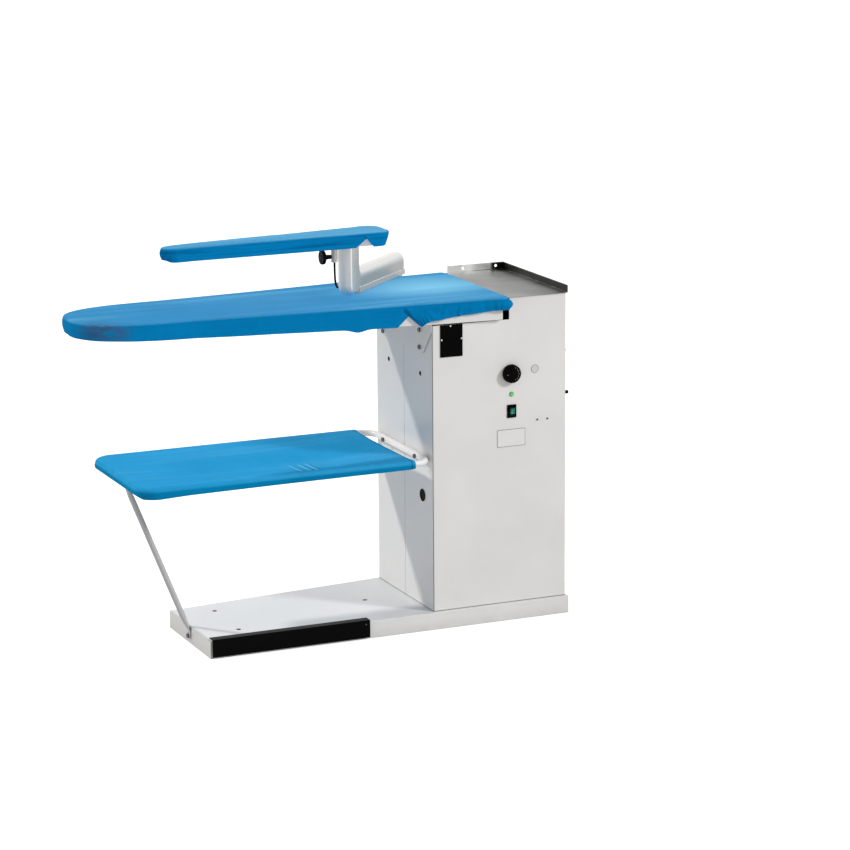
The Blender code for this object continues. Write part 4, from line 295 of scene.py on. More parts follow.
@dataclass(frozen=True)
class Enamel(Finish):
    """Baked powder paint on sheet steel: a fine orange peel, a little unevenness, rubbed places,
    and on some pieces painted shade and painted highlights.
    """

    roughness: float = 0.36
    peel: float = 0.00005
    rubbed: float = 0.0
    floor_dust: float = 0.0
    shine: float = 0.4
    # A dark seam line, and painted shade of the gap along the foot.
    joints: bool = False
    # Centres and radii of painted shade spots, one at each small hole.
    shaded_hole_spots: tuple[tuple[Rgb, float], ...] = ()
    # Painted light and shade on the arm's duct and column.
    arm_painted_light: bool = False
    # Height of a painted highlight line along the top edge; 0 for none.
    rim: float = 0.0
    # Depth of the painted shade high on the left side; any depth also paints the inside near black.
    painted_side_shade: float = 0.0
    # Depth of the painted shade on the base's left end.
    painted_end_shade: float = 0.0

    def painted_arm_shading(self, recipe: Recipe, x: Signal, y: Signal, z: Signal) -> Socket:
        """Painted light and shade on the arm: the duct lighter on top and darker down its side, the
        column's rounded face lighter than its flat side, and a painted highlight down the edge
        between them; the warm greys offset blue light bounced from the cloth.
        """
        out, over = x - 0.116, y + 0.0081
        along = 0.721 * out + 0.692 * over
        across = 0.692 * out - 0.721 * over
        # Painted light and shade on the column: its rounded face lighter, its flat side darker.
        face = recipe.blend(recipe.ramp(across, 0.002, 0.0200),
                            (0.97, 0.90, 0.81), (0.62, 0.585, 0.54))
        side = recipe.blend(recipe.ramp(along, -0.022, 0.018),
                            (0.54, 0.51, 0.465), (0.43, 0.405, 0.37))
        post = recipe.blend(recipe.ramp(across, 0.0200, 0.0208), face, side)
        # Painted highlight: a white line down the column's edge.
        edge = recipe.stripe(across - 0.0198, 0.0000012) * recipe.fade(along, -0.023, -0.019)
        post = recipe.blend(edge, post, grey(1.0))
        # Painted light and shade on the duct: lighter on top, darker down its side.
        duct = recipe.blend(recipe.ramp(z, 0.978, 1.004), (0.36, 0.338, 0.305), (0.86, 0.835, 0.80))
        return recipe.blend(recipe.fade(along, 0.026, 0.038), duct, post)

    def shade_painted_on_side(self, recipe: Recipe, colour: Socket, x: Signal, y: Signal,
                    z: Signal) -> Socket:
        """The colour with painted shade: the left side darker high up under the board, and the
        inside painted near black.
        """
        upper = recipe.ramp(z, 0.35, 0.90) * recipe.fade(x, 0.2783, 0.2788)
        colour = recipe.blend(upper * self.painted_side_shade, colour, (0.40, 0.38, 0.355))
        # Painted shade: the inside near black.
        inside = recipe.within(x, 0.2784, 0.6906, 0.0005)
        inside = inside * recipe.within(y, -0.2141, 0.1839, 0.0005)
        return recipe.blend(inside, colour, grey(0.03))

    def write(self, recipe: Recipe, where: Socket) -> dict:
        """The paint's own unevenness, its wear, dust and seams, and the painted shade and painted
        highlights that the piece is given.
        """
        x, y, z = recipe.axes(where)
        cloudy = recipe.patches(where, 5.0, 4.0, 0.55, 0.3, 0.7)
        colour = self.toned(recipe, cloudy, 0.965, 1.02)
        rough = self.roughness - 0.03 + 0.06 * cloudy
        # Painted light and shade on the arm, with a little unevenness of the paint.
        if self.arm_painted_light:
            colour = recipe.blend(cloudy * 0.05, self.painted_arm_shading(recipe, x, y, z), grey(0.3))
        # Painted highlight: a pale line along the top edge.
        if self.rim:
            top = recipe.ramp(z, self.rim - 0.0012, self.rim)
            colour = recipe.blend(top, colour, (0.96, 0.94, 0.91))
        if self.painted_side_shade:
            colour = self.shade_painted_on_side(recipe, colour, x, y, z)
        # Painted shade: the base's left end darker.
        if self.painted_end_shade:
            colour = recipe.blend(recipe.fade(x, -0.394, -0.386) * self.painted_end_shade, colour, grey(0.2))
        if self.rubbed:
            marks = recipe.patches(recipe.place((14, 3, 14)), 6.0, 8.0, 0.7, 0.58, 0.72)
            fine = recipe.patches(recipe.place((60, 6, 60)), 5.0, 6.0, 0.75, 0.6, 0.68)
            worn = (marks * 0.6 + fine * 0.4) * self.rubbed
            colour = recipe.blend(worn, colour, tint(self.colour, 0.6, 0.07))
            rough = rough + 0.18 * worn
        if self.floor_dust:
            low = recipe.fade(z, 0.0, 0.035) * recipe.noise(where, 30.0, 5.0, 0.6)
            colour = recipe.blend(low * self.floor_dust, colour, (0.36, 0.34, 0.31))
        # A dark seam line down the side, and painted shade of the gap along the cabinet's foot.
        if self.joints:
            foot = recipe.fade(z, 0.0505, 0.0535)
            seam = recipe.stripe(y + 0.0151, 0.0000014)
            colour = recipe.blend((foot * 0.9 + seam * 0.55).at_most(1.0), colour, grey(0.10))
        peel = recipe.relief(recipe.noise(where, 420.0), self.peel)
        grain = recipe.relief(recipe.noise(where, 60.0), self.peel * 1.5, peel)
        return {"Base Color": colour, "Roughness": rough, "Specular IOR Level": self.shine,
                "Normal": grain}

    def painted_hole_shade(self, recipe: Recipe, where: Socket) -> Optional[Signal]:
        """Painted shade: soft near-black spots somewhat wider than each small hole in the piece."""
        found: Optional[Signal] = None
        for centre, radius in self.shaded_hole_spots:
            # Painted shade: near black within the spot, fading at its edge.
            bare = recipe.ramp(recipe.spot(where, centre, radius * 1.5), 0.18, 0.36)
            found = found + bare if found else bare
        return found


@dataclass(frozen=True)
class BrushedSheet(Finish):
    """Stainless sheet brushed along the table, with painted reflections: painted shade on its walls
    and right end, a near-white rear wall and soft cloudy patches.
    """

    roughness: float = 0.30

    def write(self, recipe: Recipe, where: Socket) -> dict:
        """Brush marks, and painted reflections, shade and highlights on the floor and walls."""
        streaks = recipe.noise(recipe.place((6, 900, 900)), 1.0, 4.0, 0.7)
        fine = recipe.noise(recipe.place((20, 3500, 3500)), 1.0)
        cloudy = recipe.patches(where, 11.0, 2.0, 0.5, 0.40, 0.62)
        x, y, z = recipe.axes(where)
        wall = recipe.ramp(z, 0.9350, 0.9375)
        back = recipe.ramp(y, 0.19, 0.208)
        right = recipe.ramp(x, 0.53, 0.692)
        corner = recipe.spot(recipe.place((1, 1, 0.2)), (0.694, 0.205, 0.189), 0.07)
        nook = recipe.ramp(x, 0.650, 0.664)
        rim = recipe.ramp(z, 0.9532, 0.9550)
        # Painted reflection and shade: darker to the right, in clouds, on the side walls and in the
        # rear right corner.
        shade = 0.38 + 0.22 * streaks - 0.22 * right - 0.15 * (1 - cloudy)
        shade = shade - 0.22 * wall * (1 - back) - 0.30 * corner
        colour = self.toned(recipe, shade, 0.10, 1.10)
        # Painted reflection: the rear wall near white but for its right end.
        rear = back * wall
        bright = rear * (1 - nook) * (0.75 + 0.25 * cloudy)
        colour = recipe.blend(bright, colour, (0.98, 0.98, 0.97))
        # Painted shade: the rear wall's right end near black.
        colour = recipe.blend(rear * nook * 0.85, colour, grey(0.01))
        # Painted highlight along the top of the walls.
        colour = recipe.blend(rim * 0.75, colour, (0.80, 0.80, 0.79))
        rough = self.roughness + 0.12 * streaks + 0.06 * cloudy
        normal = recipe.relief(streaks + 0.5 * fine, 0.00003)
        return {"Base Color": colour, "Metallic": 1.0, "Roughness": rough, "Normal": normal}


@dataclass(frozen=True)
class ZincPlate(Finish):
    """Bright zinc on fasteners and galvanised sheet, with its faint spangle."""

    spangle: float = 90.0

    def write(self, recipe: Recipe, where: Socket) -> dict:
        """Flakes and dull patches."""
        flake = recipe.cells(where, self.spangle)
        dull = recipe.patches(where, 25.0, 5.0, 0.6, 0.4, 0.7)
        colour = self.toned(recipe, 0.6 * flake + 0.4 * dull, 1.08, 0.72)
        rough = 0.30 + 0.18 * dull + 0.08 * flake
        normal = recipe.relief(recipe.noise(where, 900.0), 0.00002)
        return {"Base Color": colour, "Metallic": 0.9, "Roughness": rough, "Normal": normal}


@dataclass(frozen=True)
class CastSkin(Finish):
    """Plain cast or welded metal under a thin grey coat."""

    def write(self, recipe: Recipe, where: Socket) -> dict:
        """A sandy skin with faint stains."""
        sand = recipe.noise(where, 480.0, 4.0, 0.65)
        stain = recipe.patches(where, 18.0, 5.0, 0.5, 0.35, 0.7)
        colour = self.toned(recipe, 0.7 * stain + 0.3 * sand, 1.08, 0.78)
        return {"Base Color": colour, "Metallic": 0.35, "Roughness": 0.48 + 0.15 * sand,
                "Normal": recipe.relief(sand, 0.00018)}


@dataclass(frozen=True)
class Moulding(Finish):
    """Moulded plastic with a fine spark-eroded grain."""

    roughness: float = 0.42
    grain: float = 0.00004
    coat: float = 0.0
    shine: float = 0.12
    lit: Optional[Rgb] = None

    def write(self, recipe: Recipe, where: Socket) -> dict:
        """A handled skin, and a lamp's glow behind the middle where the piece has one."""
        grain = recipe.relief(recipe.cells(where, 1400.0), self.grain)
        handled = recipe.patches(where, 70.0, 4.0, 0.5, 0.4, 0.65)
        colour = recipe.blend(handled, tint(self.colour, 0.85), tint(self.colour, 1.1, 0.001))
        if self.lit:
            x, _, z = recipe.axes(where)
            up, aside = z - self.lit[2], x - self.lit[0]
            middle = recipe.fade(up * up, 0.000030, 0.000095) * recipe.ramp(aside, -0.0068, -0.0035)
            colour = recipe.blend(middle, (0.001, 0.006, 0.004), colour)
        return {"Base Color": colour, "Roughness": self.roughness + 0.10 * handled, "Normal": grain,
                "Specular IOR Level": self.shine, "Coat Weight": self.coat, "Coat Roughness": 0.08}


@dataclass(frozen=True)
class Rubber(Finish):
    """Matt black rubber with a faint bloom."""

    def write(self, recipe: Recipe, where: Socket) -> dict:
        """A dull skin with its bloom."""
        bloom = recipe.patches(where, 120.0, 6.0, 0.7, 0.5, 0.8)
        colour = recipe.blend(bloom, self.colour, tint(self.colour, 1.0, 0.004))
        normal = recipe.relief(recipe.noise(where, 1500.0, 3.0), 0.00004)
        return {"Base Color": colour, "Roughness": 0.62 + 0.2 * bloom, "Normal": normal,
                "Specular IOR Level": 0.04}


@dataclass(frozen=True)
class Lens(Finish):
    """Clear coloured plastic over a lamp: bright in its middle, deep at its rim."""

    centre: Rgb
    radius: float
    glow: float

    def write(self, recipe: Recipe, where: Socket) -> dict:
        """Fine facets with the lamp's glow behind them."""
        middle = recipe.spot(where, self.centre, self.radius)
        facets = recipe.cells(where, 900.0)
        return {"Base Color": self.toned(recipe, middle, 0.55, 1.25),
                "Roughness": 0.16 + 0.06 * facets, "Normal": recipe.relief(facets, 0.0001),
                "Coat Weight": 1.0, "Coat Roughness": 0.04,
                "Emission Color": recipe.blend(middle, grey(0.0), self.colour),
                "Emission Strength": self.glow}


@dataclass(frozen=True)
class Foam(Finish):
    """Felt and open foam: pores, loose fibre, a little yellowed."""

    def write(self, recipe: Recipe, where: Socket) -> dict:
        """Pores on an aged ground."""
        pores = recipe.cells(where, 700.0)
        aged = recipe.noise(where, 9.0, 5.0)
        return {"Base Color": self.toned(recipe, 0.5 * aged + 0.5 * pores, 1.0, 0.74),
                "Roughness": 0.92, "Normal": recipe.relief(pores, 0.0004)}


@dataclass(frozen=True)
class WovenCloth(Finish):
    """Plain-woven cotton cover cloth: threads, slubs, painted sheen in streaks on its top and a
    scorched nose.
    """

    thread: float = 0.0009
    stains: tuple[Spot, ...] = ()
    # crest is the height of the top; even, streaky and bright give the painted sheen there, towards
    # the pale colour.
    crest: tuple[float, float] = (0.9325, 0.9375)
    even: float = 0.16
    # Share of the colour kept on the skirt; the rest is painted shade.
    skirt: float = 0.97
    bright: tuple[Spot, ...] = ()
    streaky: float = 0.22
    # Strength of the painted shade and painted highlight along the skirt's creases.
    painted_crease_shade: float = 0.10
    puckers: tuple[float, ...] = ()
    stitched: float = 0.0
    pale: Rgb = (0.26, 0.66, 0.95)

    def weave(self, recipe: Recipe) -> Signal:
        """The threads, each over and under the next."""
        u, v, _ = recipe.axes(recipe.cloth_place())
        turn = math.pi / self.thread
        warp, weft = (u * turn).sine(), (v * turn).sine()
        over = (warp * weft).greater(0.0)
        return over * (warp * warp) + (1 - over) * (weft * weft)

    def folded(self, recipe: Recipe, colour: Socket, x: Signal, y: Signal) -> Socket:
        """The colour with the light and the shade of the small pulls and of the seam."""
        for start in self.puckers:
            long = recipe.ramp(y, -0.216, -0.200) * recipe.fade(y, -0.130, -0.078)
            high = recipe.stripe(x - start, 0.0000100) * long
            low = recipe.stripe(x - (start + PULL), 0.0000130) * long
            colour = recipe.blend(low * 0.26, colour, (0.0, 0.06, 0.20))
            colour = recipe.blend(high * 0.40, colour, self.pale)
        if self.stitched:
            seam = recipe.stripe(x - self.stitched, 0.0000045)
            colour = recipe.blend(seam * 0.62, colour, (0.0, 0.03, 0.10))
        return colour

    def write(self, recipe: Recipe, where: Socket) -> dict:
        """Threads and dye, painted sheen on the top, painted shade on the skirt and along its
        creases, the pulls and the stains.
        """
        x, y, z = recipe.axes(where)
        weave = self.weave(recipe)
        slub = recipe.noise(recipe.cloth_place((40, 900, 1)), 1.0, 3.0, 0.6)
        slub = 0.5 * slub + 0.5 * recipe.noise(recipe.cloth_place((900, 40, 1)), 1.0, 3.0, 0.6)
        dye = recipe.noise(where, 7.0, 5.0, 0.6)
        tone = 0.45 * slub + 0.35 * dye + 0.20 * weave
        colour = self.toned(recipe, recipe.ramp(tone, 0.25, 0.75), 0.84, 1.14)
        crown = recipe.ramp(z, *self.crest)
        side = 1 - crown
        # Painted shade: the skirt darker than the top.
        colour = recipe.blend(side * (1 - self.skirt), colour, grey(0.0))
        # Painted sheen: the top paled evenly, in streaks along the board and in soft patches.
        streak = recipe.patches(recipe.place((1.2, 16, 3)), 1.0, 4.0, 0.55, 0.35, 0.7)
        painted_sheen = self.even + self.streaky * streak * streak
        for centre, radius, depth in self.bright:
            painted_sheen = painted_sheen + recipe.spot(recipe.place((1, 1.5, 1)), centre, radius) * depth
        colour = recipe.blend((crown * painted_sheen).at_most(1.0), colour, self.pale)
        # Painted shade and painted highlight along the skirt's creases.
        lying = recipe.noise(recipe.place((3.2, 3.2, 110)), 1.0, 3.0, 0.6)
        dark = recipe.ramp(lying, 0.50, 0.68) * side * self.painted_crease_shade
        colour = recipe.blend(dark, colour, (0.0, 0.03, 0.09))
        light = recipe.fade(lying, 0.34, 0.46) * side * self.painted_crease_shade * 0.6
        colour = recipe.blend(light, colour, tint(self.colour, 1.35))
        colour = self.folded(recipe, colour, x, y)
        mottle = recipe.patches(recipe.place((1, 1, 2.6)), 26.0, 6.0, 0.6, 0.30, 0.72)
        for centre, radius, depth in self.stains:
            patch = recipe.spot(where, centre, radius) * mottle * depth
            colour = recipe.blend(patch, colour, (0.065, 0.095, 0.19))
        threads = recipe.relief(weave, self.thread * 0.12)
        normal = recipe.relief(slub, self.thread * 0.10, threads)
        return {"Base Color": colour, "Roughness": 0.80 + 0.08 * slub, "Normal": normal,
                "Specular IOR Level": 0.0, "Sheen Weight": 0.025, "Sheen Roughness": 0.35}


@dataclass(frozen=True)
class Film(Finish):
    """A thin printed or plain film stuck on the panel."""

    roughness: float = 0.3

    def write(self, recipe: Recipe, where: Socket) -> dict:
        """A smooth, slightly hazy skin."""
        hazy = recipe.noise(where, 40.0, 4.0)
        normal = recipe.relief(recipe.noise(where, 260.0), 0.00002)
        return {"Base Color": self.toned(recipe, hazy, 0.95, 1.04),
                "Roughness": self.roughness + 0.1 * hazy, "Normal": normal}


BLUE: Rgb = (0.002, 0.225, 0.545)
PULLS = (-0.109, -0.082, -0.062)
PULL = 0.0062
WHITE_ENAMEL = Enamel("white_enamel", grey(0.80), 0.38)
# Cabinet paint: a dark seam, with painted shade at its foot, high on its left side, inside and at
# the side hole spots.
CABINET_ENAMEL = Enamel("cabinet_enamel", grey(0.80), 0.38, joints=True, painted_side_shade=0.42,
                        shaded_hole_spots=(((0.278, 0.0936, 0.7225), 0.0070),
                               ((0.278, -0.1302, 0.7225), 0.0070)))
STRUT_ENAMEL = Enamel("strut_enamel", grey(0.49), 0.38, rubbed=0.05)
TUBE_ENAMEL = Enamel("tube_enamel", grey(0.88), 0.34)
# Base paint: wear and floor dust, with painted shade on its left end and at the hole spots.
BASE_ENAMEL = Enamel("base_enamel", grey(0.80), 0.38, rubbed=0.05, floor_dust=0.35, painted_end_shade=0.36,
                     shaded_hole_spots=(((-0.2834, -0.1444, 0.05), 0.0068), ((-0.2812, 0.0562, 0.05), 0.0068),
                            ((0.1483, -0.0196, 0.05), 0.0068)))
GREY_ENAMEL = Enamel("grey_enamel", grey(0.60), 0.34, shine=0.5)
# Arm paint, with painted light and shade on its duct and column.
ARM_ENAMEL = Enamel("arm_enamel", grey(0.60), 0.28, shine=0.6, arm_painted_light=True)
# Bracket paint, with painted shade high on its left face.
BRACKET_ENAMEL = Enamel("bracket_enamel", grey(0.80), 0.38, painted_side_shade=0.46)
# Lip paint, with a painted highlight along its top edge.
LIP_ENAMEL = Enamel("lip_enamel", (0.46, 0.43, 0.39), 0.30, shine=0.5, rim=0.9578)
CLAMP_ENAMEL = Enamel("clamp_enamel", (0.58, 0.54, 0.49), 0.30, shine=0.5)
# Near black for the frame inside the cabinet: painted shade where it shows through a hole.
INSIDE_SHADE_PAINT = Enamel("inside_shade_paint", grey(0.035), 0.55, shine=0.1)
BLACK_ENAMEL = Enamel("black_enamel", grey(0.0015), 0.42, 0.00008, shine=0.02)
PEDAL_ENAMEL = Enamel("pedal_enamel", grey(0.0015), 0.34, 0.00008, rubbed=0.03, shine=0.03)
TRAY_STEEL = BrushedSheet("tray_steel", (0.52, 0.52, 0.51))
ZINC = ZincPlate("zinc", grey(0.60))
DARK_BOLT = ZincPlate("bolt_zinc", (0.15, 0.15, 0.155), 400.0)
DARK_SCREW = ZincPlate("screw_zinc", grey(0.09), 400.0)
CASTING = CastSkin("grey_casting", (0.36, 0.37, 0.38))
FELT = Foam("felt_and_foam", (0.72, 0.66, 0.52))
BLACK_MOULDING = Moulding("black_moulding", grey(0.002), 0.36, shine=0.02)
PALE_MOULDING = Moulding("pale_moulding", (0.60, 0.60, 0.59), shine=0.4)
BLACK_RUBBER = Rubber("black_rubber", grey(0.003))
GREEN_ROCKER = Moulding("green_rocker", (0.003, 0.25, 0.165), 0.26, 0.00001, 0.05, 0.04,
                        (0.521, -0.2148, 0.6085))
LAMP_LENS = Lens("green_lens", (0.04, 0.54, 0.06), (0.521, -0.2182, 0.657), 0.0075, 0.24)
PRINT_WHITE = Film("white_print", grey(0.62), 0.45)
PRINT_GREY = Film("grey_print", grey(0.40), 0.45)
PALE_FILM = Film("pale_film", (0.66, 0.66, 0.65))
SILVER_FILM = Film("silver_film", grey(0.80), 0.34)
DARK_FILM = Film("dark_film", grey(0.06), 0.45)
# Board cloth: stains at the nose, and patches of painted sheen on the top.
BOARD_CLOTH = WovenCloth("board_cloth", BLUE, stains=(((-0.650, -0.135, 0.930), 0.070, 0.80),
                                                      ((-0.612, -0.160, 0.930), 0.056, 0.80),
                                                      ((-0.680, -0.120, 0.905), 0.080, 0.45)),
                         bright=(((0.36, 0.02, 0.94), 0.34, 0.62),
                                 ((-0.10, 0.03, 0.94), 0.42, 0.06)))
# Sleeve cloth: more painted sheen on its top, and strong painted crease shade on its skirt.
SLEEVE_CLOTH = WovenCloth("sleeve_cloth", BLUE, crest=(1.1150, 1.1200), even=0.32, skirt=0.98,
                          painted_crease_shade=0.38)
# Tray cloth: a skirt darkened as painted shade, and painted highlights and shade along the pulls.
TRAY_CLOTH = WovenCloth("tray_cloth", (0.002, 0.325, 0.690), crest=(0.4830, 0.4915), even=0.08,
                        skirt=0.70, streaky=0.10, puckers=PULLS, stitched=0.2075)

SLOT_FINISH = {"white_paint": WHITE_ENAMEL, "grey_paint": GREY_ENAMEL, "black_paint": BLACK_ENAMEL,
               "brushed_steel": TRAY_STEEL, "plated_steel": ZINC, "grey_casting": CASTING,
               "blue_cloth": BOARD_CLOTH, "foam": FELT, "black_plastic": BLACK_MOULDING,
               "black_rubber": BLACK_RUBBER, "pale_plastic": PALE_MOULDING, "green_lens": LAMP_LENS,
               "green_rocker": GREEN_ROCKER}
SLOT_OF = {name: node.material_slots[0].material.name for name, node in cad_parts.items()}
DECIMALS = 5
CAPITAL = 0.7
FLAT = math.radians(0.8)


# ---------------------------------------------------------------- working on pieces
def let_go() -> None:
    """Selects nothing."""
    bpy.ops.object.select_all(action="DESELECT")


def alone(piece: Piece) -> Piece:
    """Selects one piece and nothing else, and makes it active."""
    let_go()
    piece.select_set(True)
    bpy.context.view_layer.objects.active = piece
    return piece


def placed(name: str, data: bpy.types.ID) -> Piece:
    """Puts a new object in the scene, made of a mesh, a curve, a lamp or a camera."""
    piece = bpy.data.objects.new(name, data)
    bpy.context.scene.collection.objects.link(piece)
    return piece


def from_shape(name: str, shape: bmesh.types.BMesh) -> Piece:
    """Puts a worked shape in the scene as a new piece."""
    mesh = bpy.data.meshes.new(name)
    shape.to_mesh(mesh)
    shape.free()
    return placed(name, mesh)


def soften(piece: Piece, angle: float = SOFTEN) -> Piece:
    """Shades a piece smooth, but for its sharp edges."""
    alone(piece)
    bpy.ops.object.shade_smooth_by_angle(angle=angle)
    return piece


def flatten(piece: Piece) -> Piece:
    """Shades a rigid piece so that its broad faces stay flat up to their rounded arrises."""
    soften(piece)
    weighted = piece.modifiers.new("flat", "WEIGHTED_NORMAL")
    weighted.keep_sharp = True
    weighted.weight = 100
    return apply_all(piece)


def rounding(piece: Piece, width: float, steps: int,
             least: float = ARRIS) -> bpy.types.Modifier:
    """Adds a rounding of a piece's arrises, to be applied later."""
    bevel = piece.modifiers.new("ease", "BEVEL")
    bevel.width = width
    bevel.segments = steps
    bevel.limit_method = "ANGLE"
    bevel.angle_limit = least
    return bevel


def apply_all(piece: Piece) -> Piece:
    """Applies a piece's modifiers in their order."""
    alone(piece)
    for modifier in list(piece.modifiers):
        bpy.ops.object.modifier_apply(modifier=modifier.name)
    return piece


def hand_over(piece: Piece, body: str, slot: str, finish: Finish,
              stands_for: Sequence[str] = ()) -> Piece:
    """Gives a finished piece its finish and its body, and hides the nodes that it stands for.

    Args:
        piece: The piece, with its place in its mesh.
        body: The body that it moves with.
        slot: The material slot that it would take; not used.
        finish: One of the finishes above.
        stands_for: The frame's nodes that it replaces.

    Returns:
        The piece.
    """
    piece.data.materials.clear()
    piece.data.materials.append(finish.material())
    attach(piece, body)
    if stands_for:
        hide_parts(*stands_for)
    return piece


def merged_copy(node: str, name: str) -> Piece:
    """A copy of a node's mesh with its loose triangles joined and its flat faces made whole."""
    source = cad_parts[node].data
    shape = bmesh.new()
    keys = [tuple(round(c, DECIMALS) for c in vertex.co) for vertex in source.vertices]
    corners = {key: shape.verts.new(key) for key in dict.fromkeys(keys)}
    for polygon in source.polygons:
        ring = [corners[keys[i]] for i in polygon.vertices]
        if len(set(ring)) == 3 and shape.faces.get(ring) is None:
            shape.faces.new(ring)
    bmesh.ops.dissolve_limit(shape, angle_limit=FLAT, verts=shape.verts, edges=shape.edges,
                             delimit={"NORMAL"})
    return from_shape(name, shape)


def long_edges_only(piece: Piece, angle: float, shortest: float) -> None:
    """Marks the sharp edges that are long enough to be rounded, so that small rims stay crisp."""
    shape = bmesh.new()
    shape.from_mesh(piece.data)
    layer = shape.edges.layers.float.new("bevel_weight_edge")
    for edge in shape.edges:
        bent = len(edge.link_faces) == 2 and edge.calc_face_angle() > angle
        if bent and edge.calc_length() > shortest:
            edge[layer] = 1.0
    shape.to_mesh(piece.data)
    shape.free()


def eased(node: str, width: float, steps: int = 2, body: str = "table",
          finish: Optional[Finish] = None, least: float = ARRIS, shortest: float = 0.0) -> Piece:
    """A node's own shape with its arrises rounded, standing for the node.

    Args:
        node: The frame's node.
        width: How wide each rounding is, in metres.
        steps: The segments of the rounding.
        body: The body that it moves with.
        finish: Its finish, or nothing for its slot's own.
        least: The sharpest bend that stays as it is.
        shortest: The longest edge that stays as it is, in metres.

    Returns:
        The new piece.
    """
    slot = SLOT_OF[node]
    piece = merged_copy(node, f"{node}_finished")
    bevel = rounding(piece, width, steps, least)
    bevel.miter_outer = "MITER_ARC"
    if shortest:
        long_edges_only(piece, least, shortest)
        bevel.limit_method = "WEIGHT"
    apply_all(piece)
    flatten(piece)
    return hand_over(piece, body, slot, finish or SLOT_FINISH[slot], [node])


class Bench:
    """One solid worked from a primitive in edit mode, as by hand."""

    def __init__(self, name: str) -> None:
        """Takes the active piece, which is the primitive that was just added or a joined one.

        Args:
            name: The piece's name.
        """
        self.piece = bpy.context.active_object
        self.piece.name = name
        self.piece.data.name = name
        bpy.ops.object.transform_apply(location=True, rotation=True, scale=True)
        bpy.ops.object.mode_set(mode="EDIT")

    @classmethod
    def round_bar(cls, name: str, start: Vector, axis: Vector, radius: float, length: float,
                  sides: int = 32) -> "Bench":
        """A round bar that stands on a point.

        Args:
            name: The piece's name.
            start: The middle of its foot.
            axis: The way it stands.
            radius: Its radius.
            length: Its length.
            sides: The number of its sides.

        Returns:
            The bench that holds it.
        """
        let_go()
        turn = UP.rotation_difference(axis).to_euler()
        bpy.ops.mesh.primitive_cylinder_add(vertices=sides, radius=radius, depth=length,
                                            end_fill_type="NGON", rotation=turn,
                                            location=start + axis * (length / 2))
        return cls(name)

    @classmethod
    def block(cls, name: str, low: Vector, high: Vector) -> "Bench":
        """A block between two corners."""
        let_go()
        bpy.ops.mesh.primitive_cube_add(size=1, location=(low + high) / 2, scale=high - low)
        return cls(name)

    def faces(self, test: Test) -> "Bench":
        """Selects the faces whose centre and normal pass a test."""
        shape = bmesh.from_edit_mesh(self.piece.data)
        shape.select_mode = {"FACE"}
        shape.normal_update()
        for face in shape.faces:
            face.select_set(False)
        for face in shape.faces:
            if test(face.calc_center_median(), face.normal):
                face.select_set(True)
        shape.select_flush_mode()
        bmesh.update_edit_mesh(self.piece.data)
        bpy.ops.mesh.select_mode(type="FACE")
        return self

    def edges(self, test: Test) -> "Bench":
        """Selects the edges whose middle and direction pass a test."""
        bpy.ops.mesh.select_mode(type="EDGE")
        shape = bmesh.from_edit_mesh(self.piece.data)
        shape.select_mode = {"EDGE"}
        for edge in shape.edges:
            edge.select_set(False)
        for edge in shape.edges:
            first, second = (v.co for v in edge.verts)
            if test((first + second) / 2, (second - first).normalized()):
                edge.select_set(True)
        shape.select_flush_mode()
        bmesh.update_edit_mesh(self.piece.data)
        return self

    def inset(self, thickness: float, depth: float = 0.0, each: bool = False) -> "Bench":
        """Insets the selected faces, raised or sunk by a depth."""
        bpy.ops.mesh.inset(thickness=thickness, depth=depth, use_individual=each)
        return self

    def draw(self, way: Vector) -> "Bench":
        """Extrudes the selected faces along a vector."""
        bpy.ops.mesh.extrude_region_move(TRANSFORM_OT_translate={"value": way})
        return self

    def scale(self, share: float, about: Vector) -> "Bench":
        """Scales what is selected about a point."""
        bpy.ops.transform.resize(value=(share, share, share), center_override=about)
        return self

    def bevel(self, width: float, steps: int) -> "Bench":
        """Bevels the selected edges."""
        bpy.ops.mesh.bevel(offset=width, segments=steps, affect="EDGES", clamp_overlap=True)
        return self

    def done(self, ease: float = 0.0) -> Piece:
        """Leaves edit mode with the arrises eased and the shading smooth."""
        bpy.ops.object.mode_set(mode="OBJECT")
        if ease:
            rounding(self.piece, ease, 2)
            apply_all(self.piece)
        return flatten(self.piece)


def facing(way: Vector) -> Test:
    """A test for the faces that look one way."""
    return lambda centre, normal: normal.dot(way) > FACING


def joined(name: str, pieces: Sequence[Piece]) -> Piece:
    """Joins pieces into one.

    Args:
        name: The name of the whole.
        pieces: The pieces, the first of which stays.

    Returns:
        The whole.
    """
    alone(pieces[0])
    for piece in pieces[1:]:
        piece.select_set(True)
    bpy.ops.object.join()
    pieces[0].name = name
    return pieces[0]


def letters(text: str, centre: Vector, height: float, out: float) -> Piece:
    """A plain numeral on the front of the panel, as a thin mesh.

    Args:
        text: What is written.
        centre: The middle of the numeral, on the surface that carries it.
        height: How tall it is.
        out: How far it stands in front of that surface.

    Returns:
        The mesh.
    """
    let_go()
    bpy.ops.object.text_add()
    piece = bpy.context.active_object
    piece.data.body = text
    piece.data.align_x = "CENTER"
    piece.data.align_y = "CENTER"
    piece.data.size = height / CAPITAL
    piece.data.extrude = out / 2
    piece.data.resolution_u = 3
    bpy.ops.object.convert(target="MESH")
    piece = bpy.context.active_object
    piece.rotation_euler = (QUARTER, 0, 0)
    piece.location = centre - NORTH * (out / 2)
    bpy.ops.object.transform_apply(location=True, rotation=True, scale=True)
    return piece


# ---------------------------------------------------------------- cloth
TINY = 1e-6
CREASE = math.radians(75)
SLEEVE_SEAT = BASE_CORNER + Vector((0.512, 0.2175, 0))
SOFT_EDGE = math.radians(25)


def smooth_step(value: float, low: float, high: float) -> float:
    """0 below low, 1 above high, and a smooth rise between them."""
    share = min(1.0, max(0.0, (value - low) / (high - low)))
    return share * share * (3 - 2 * share)


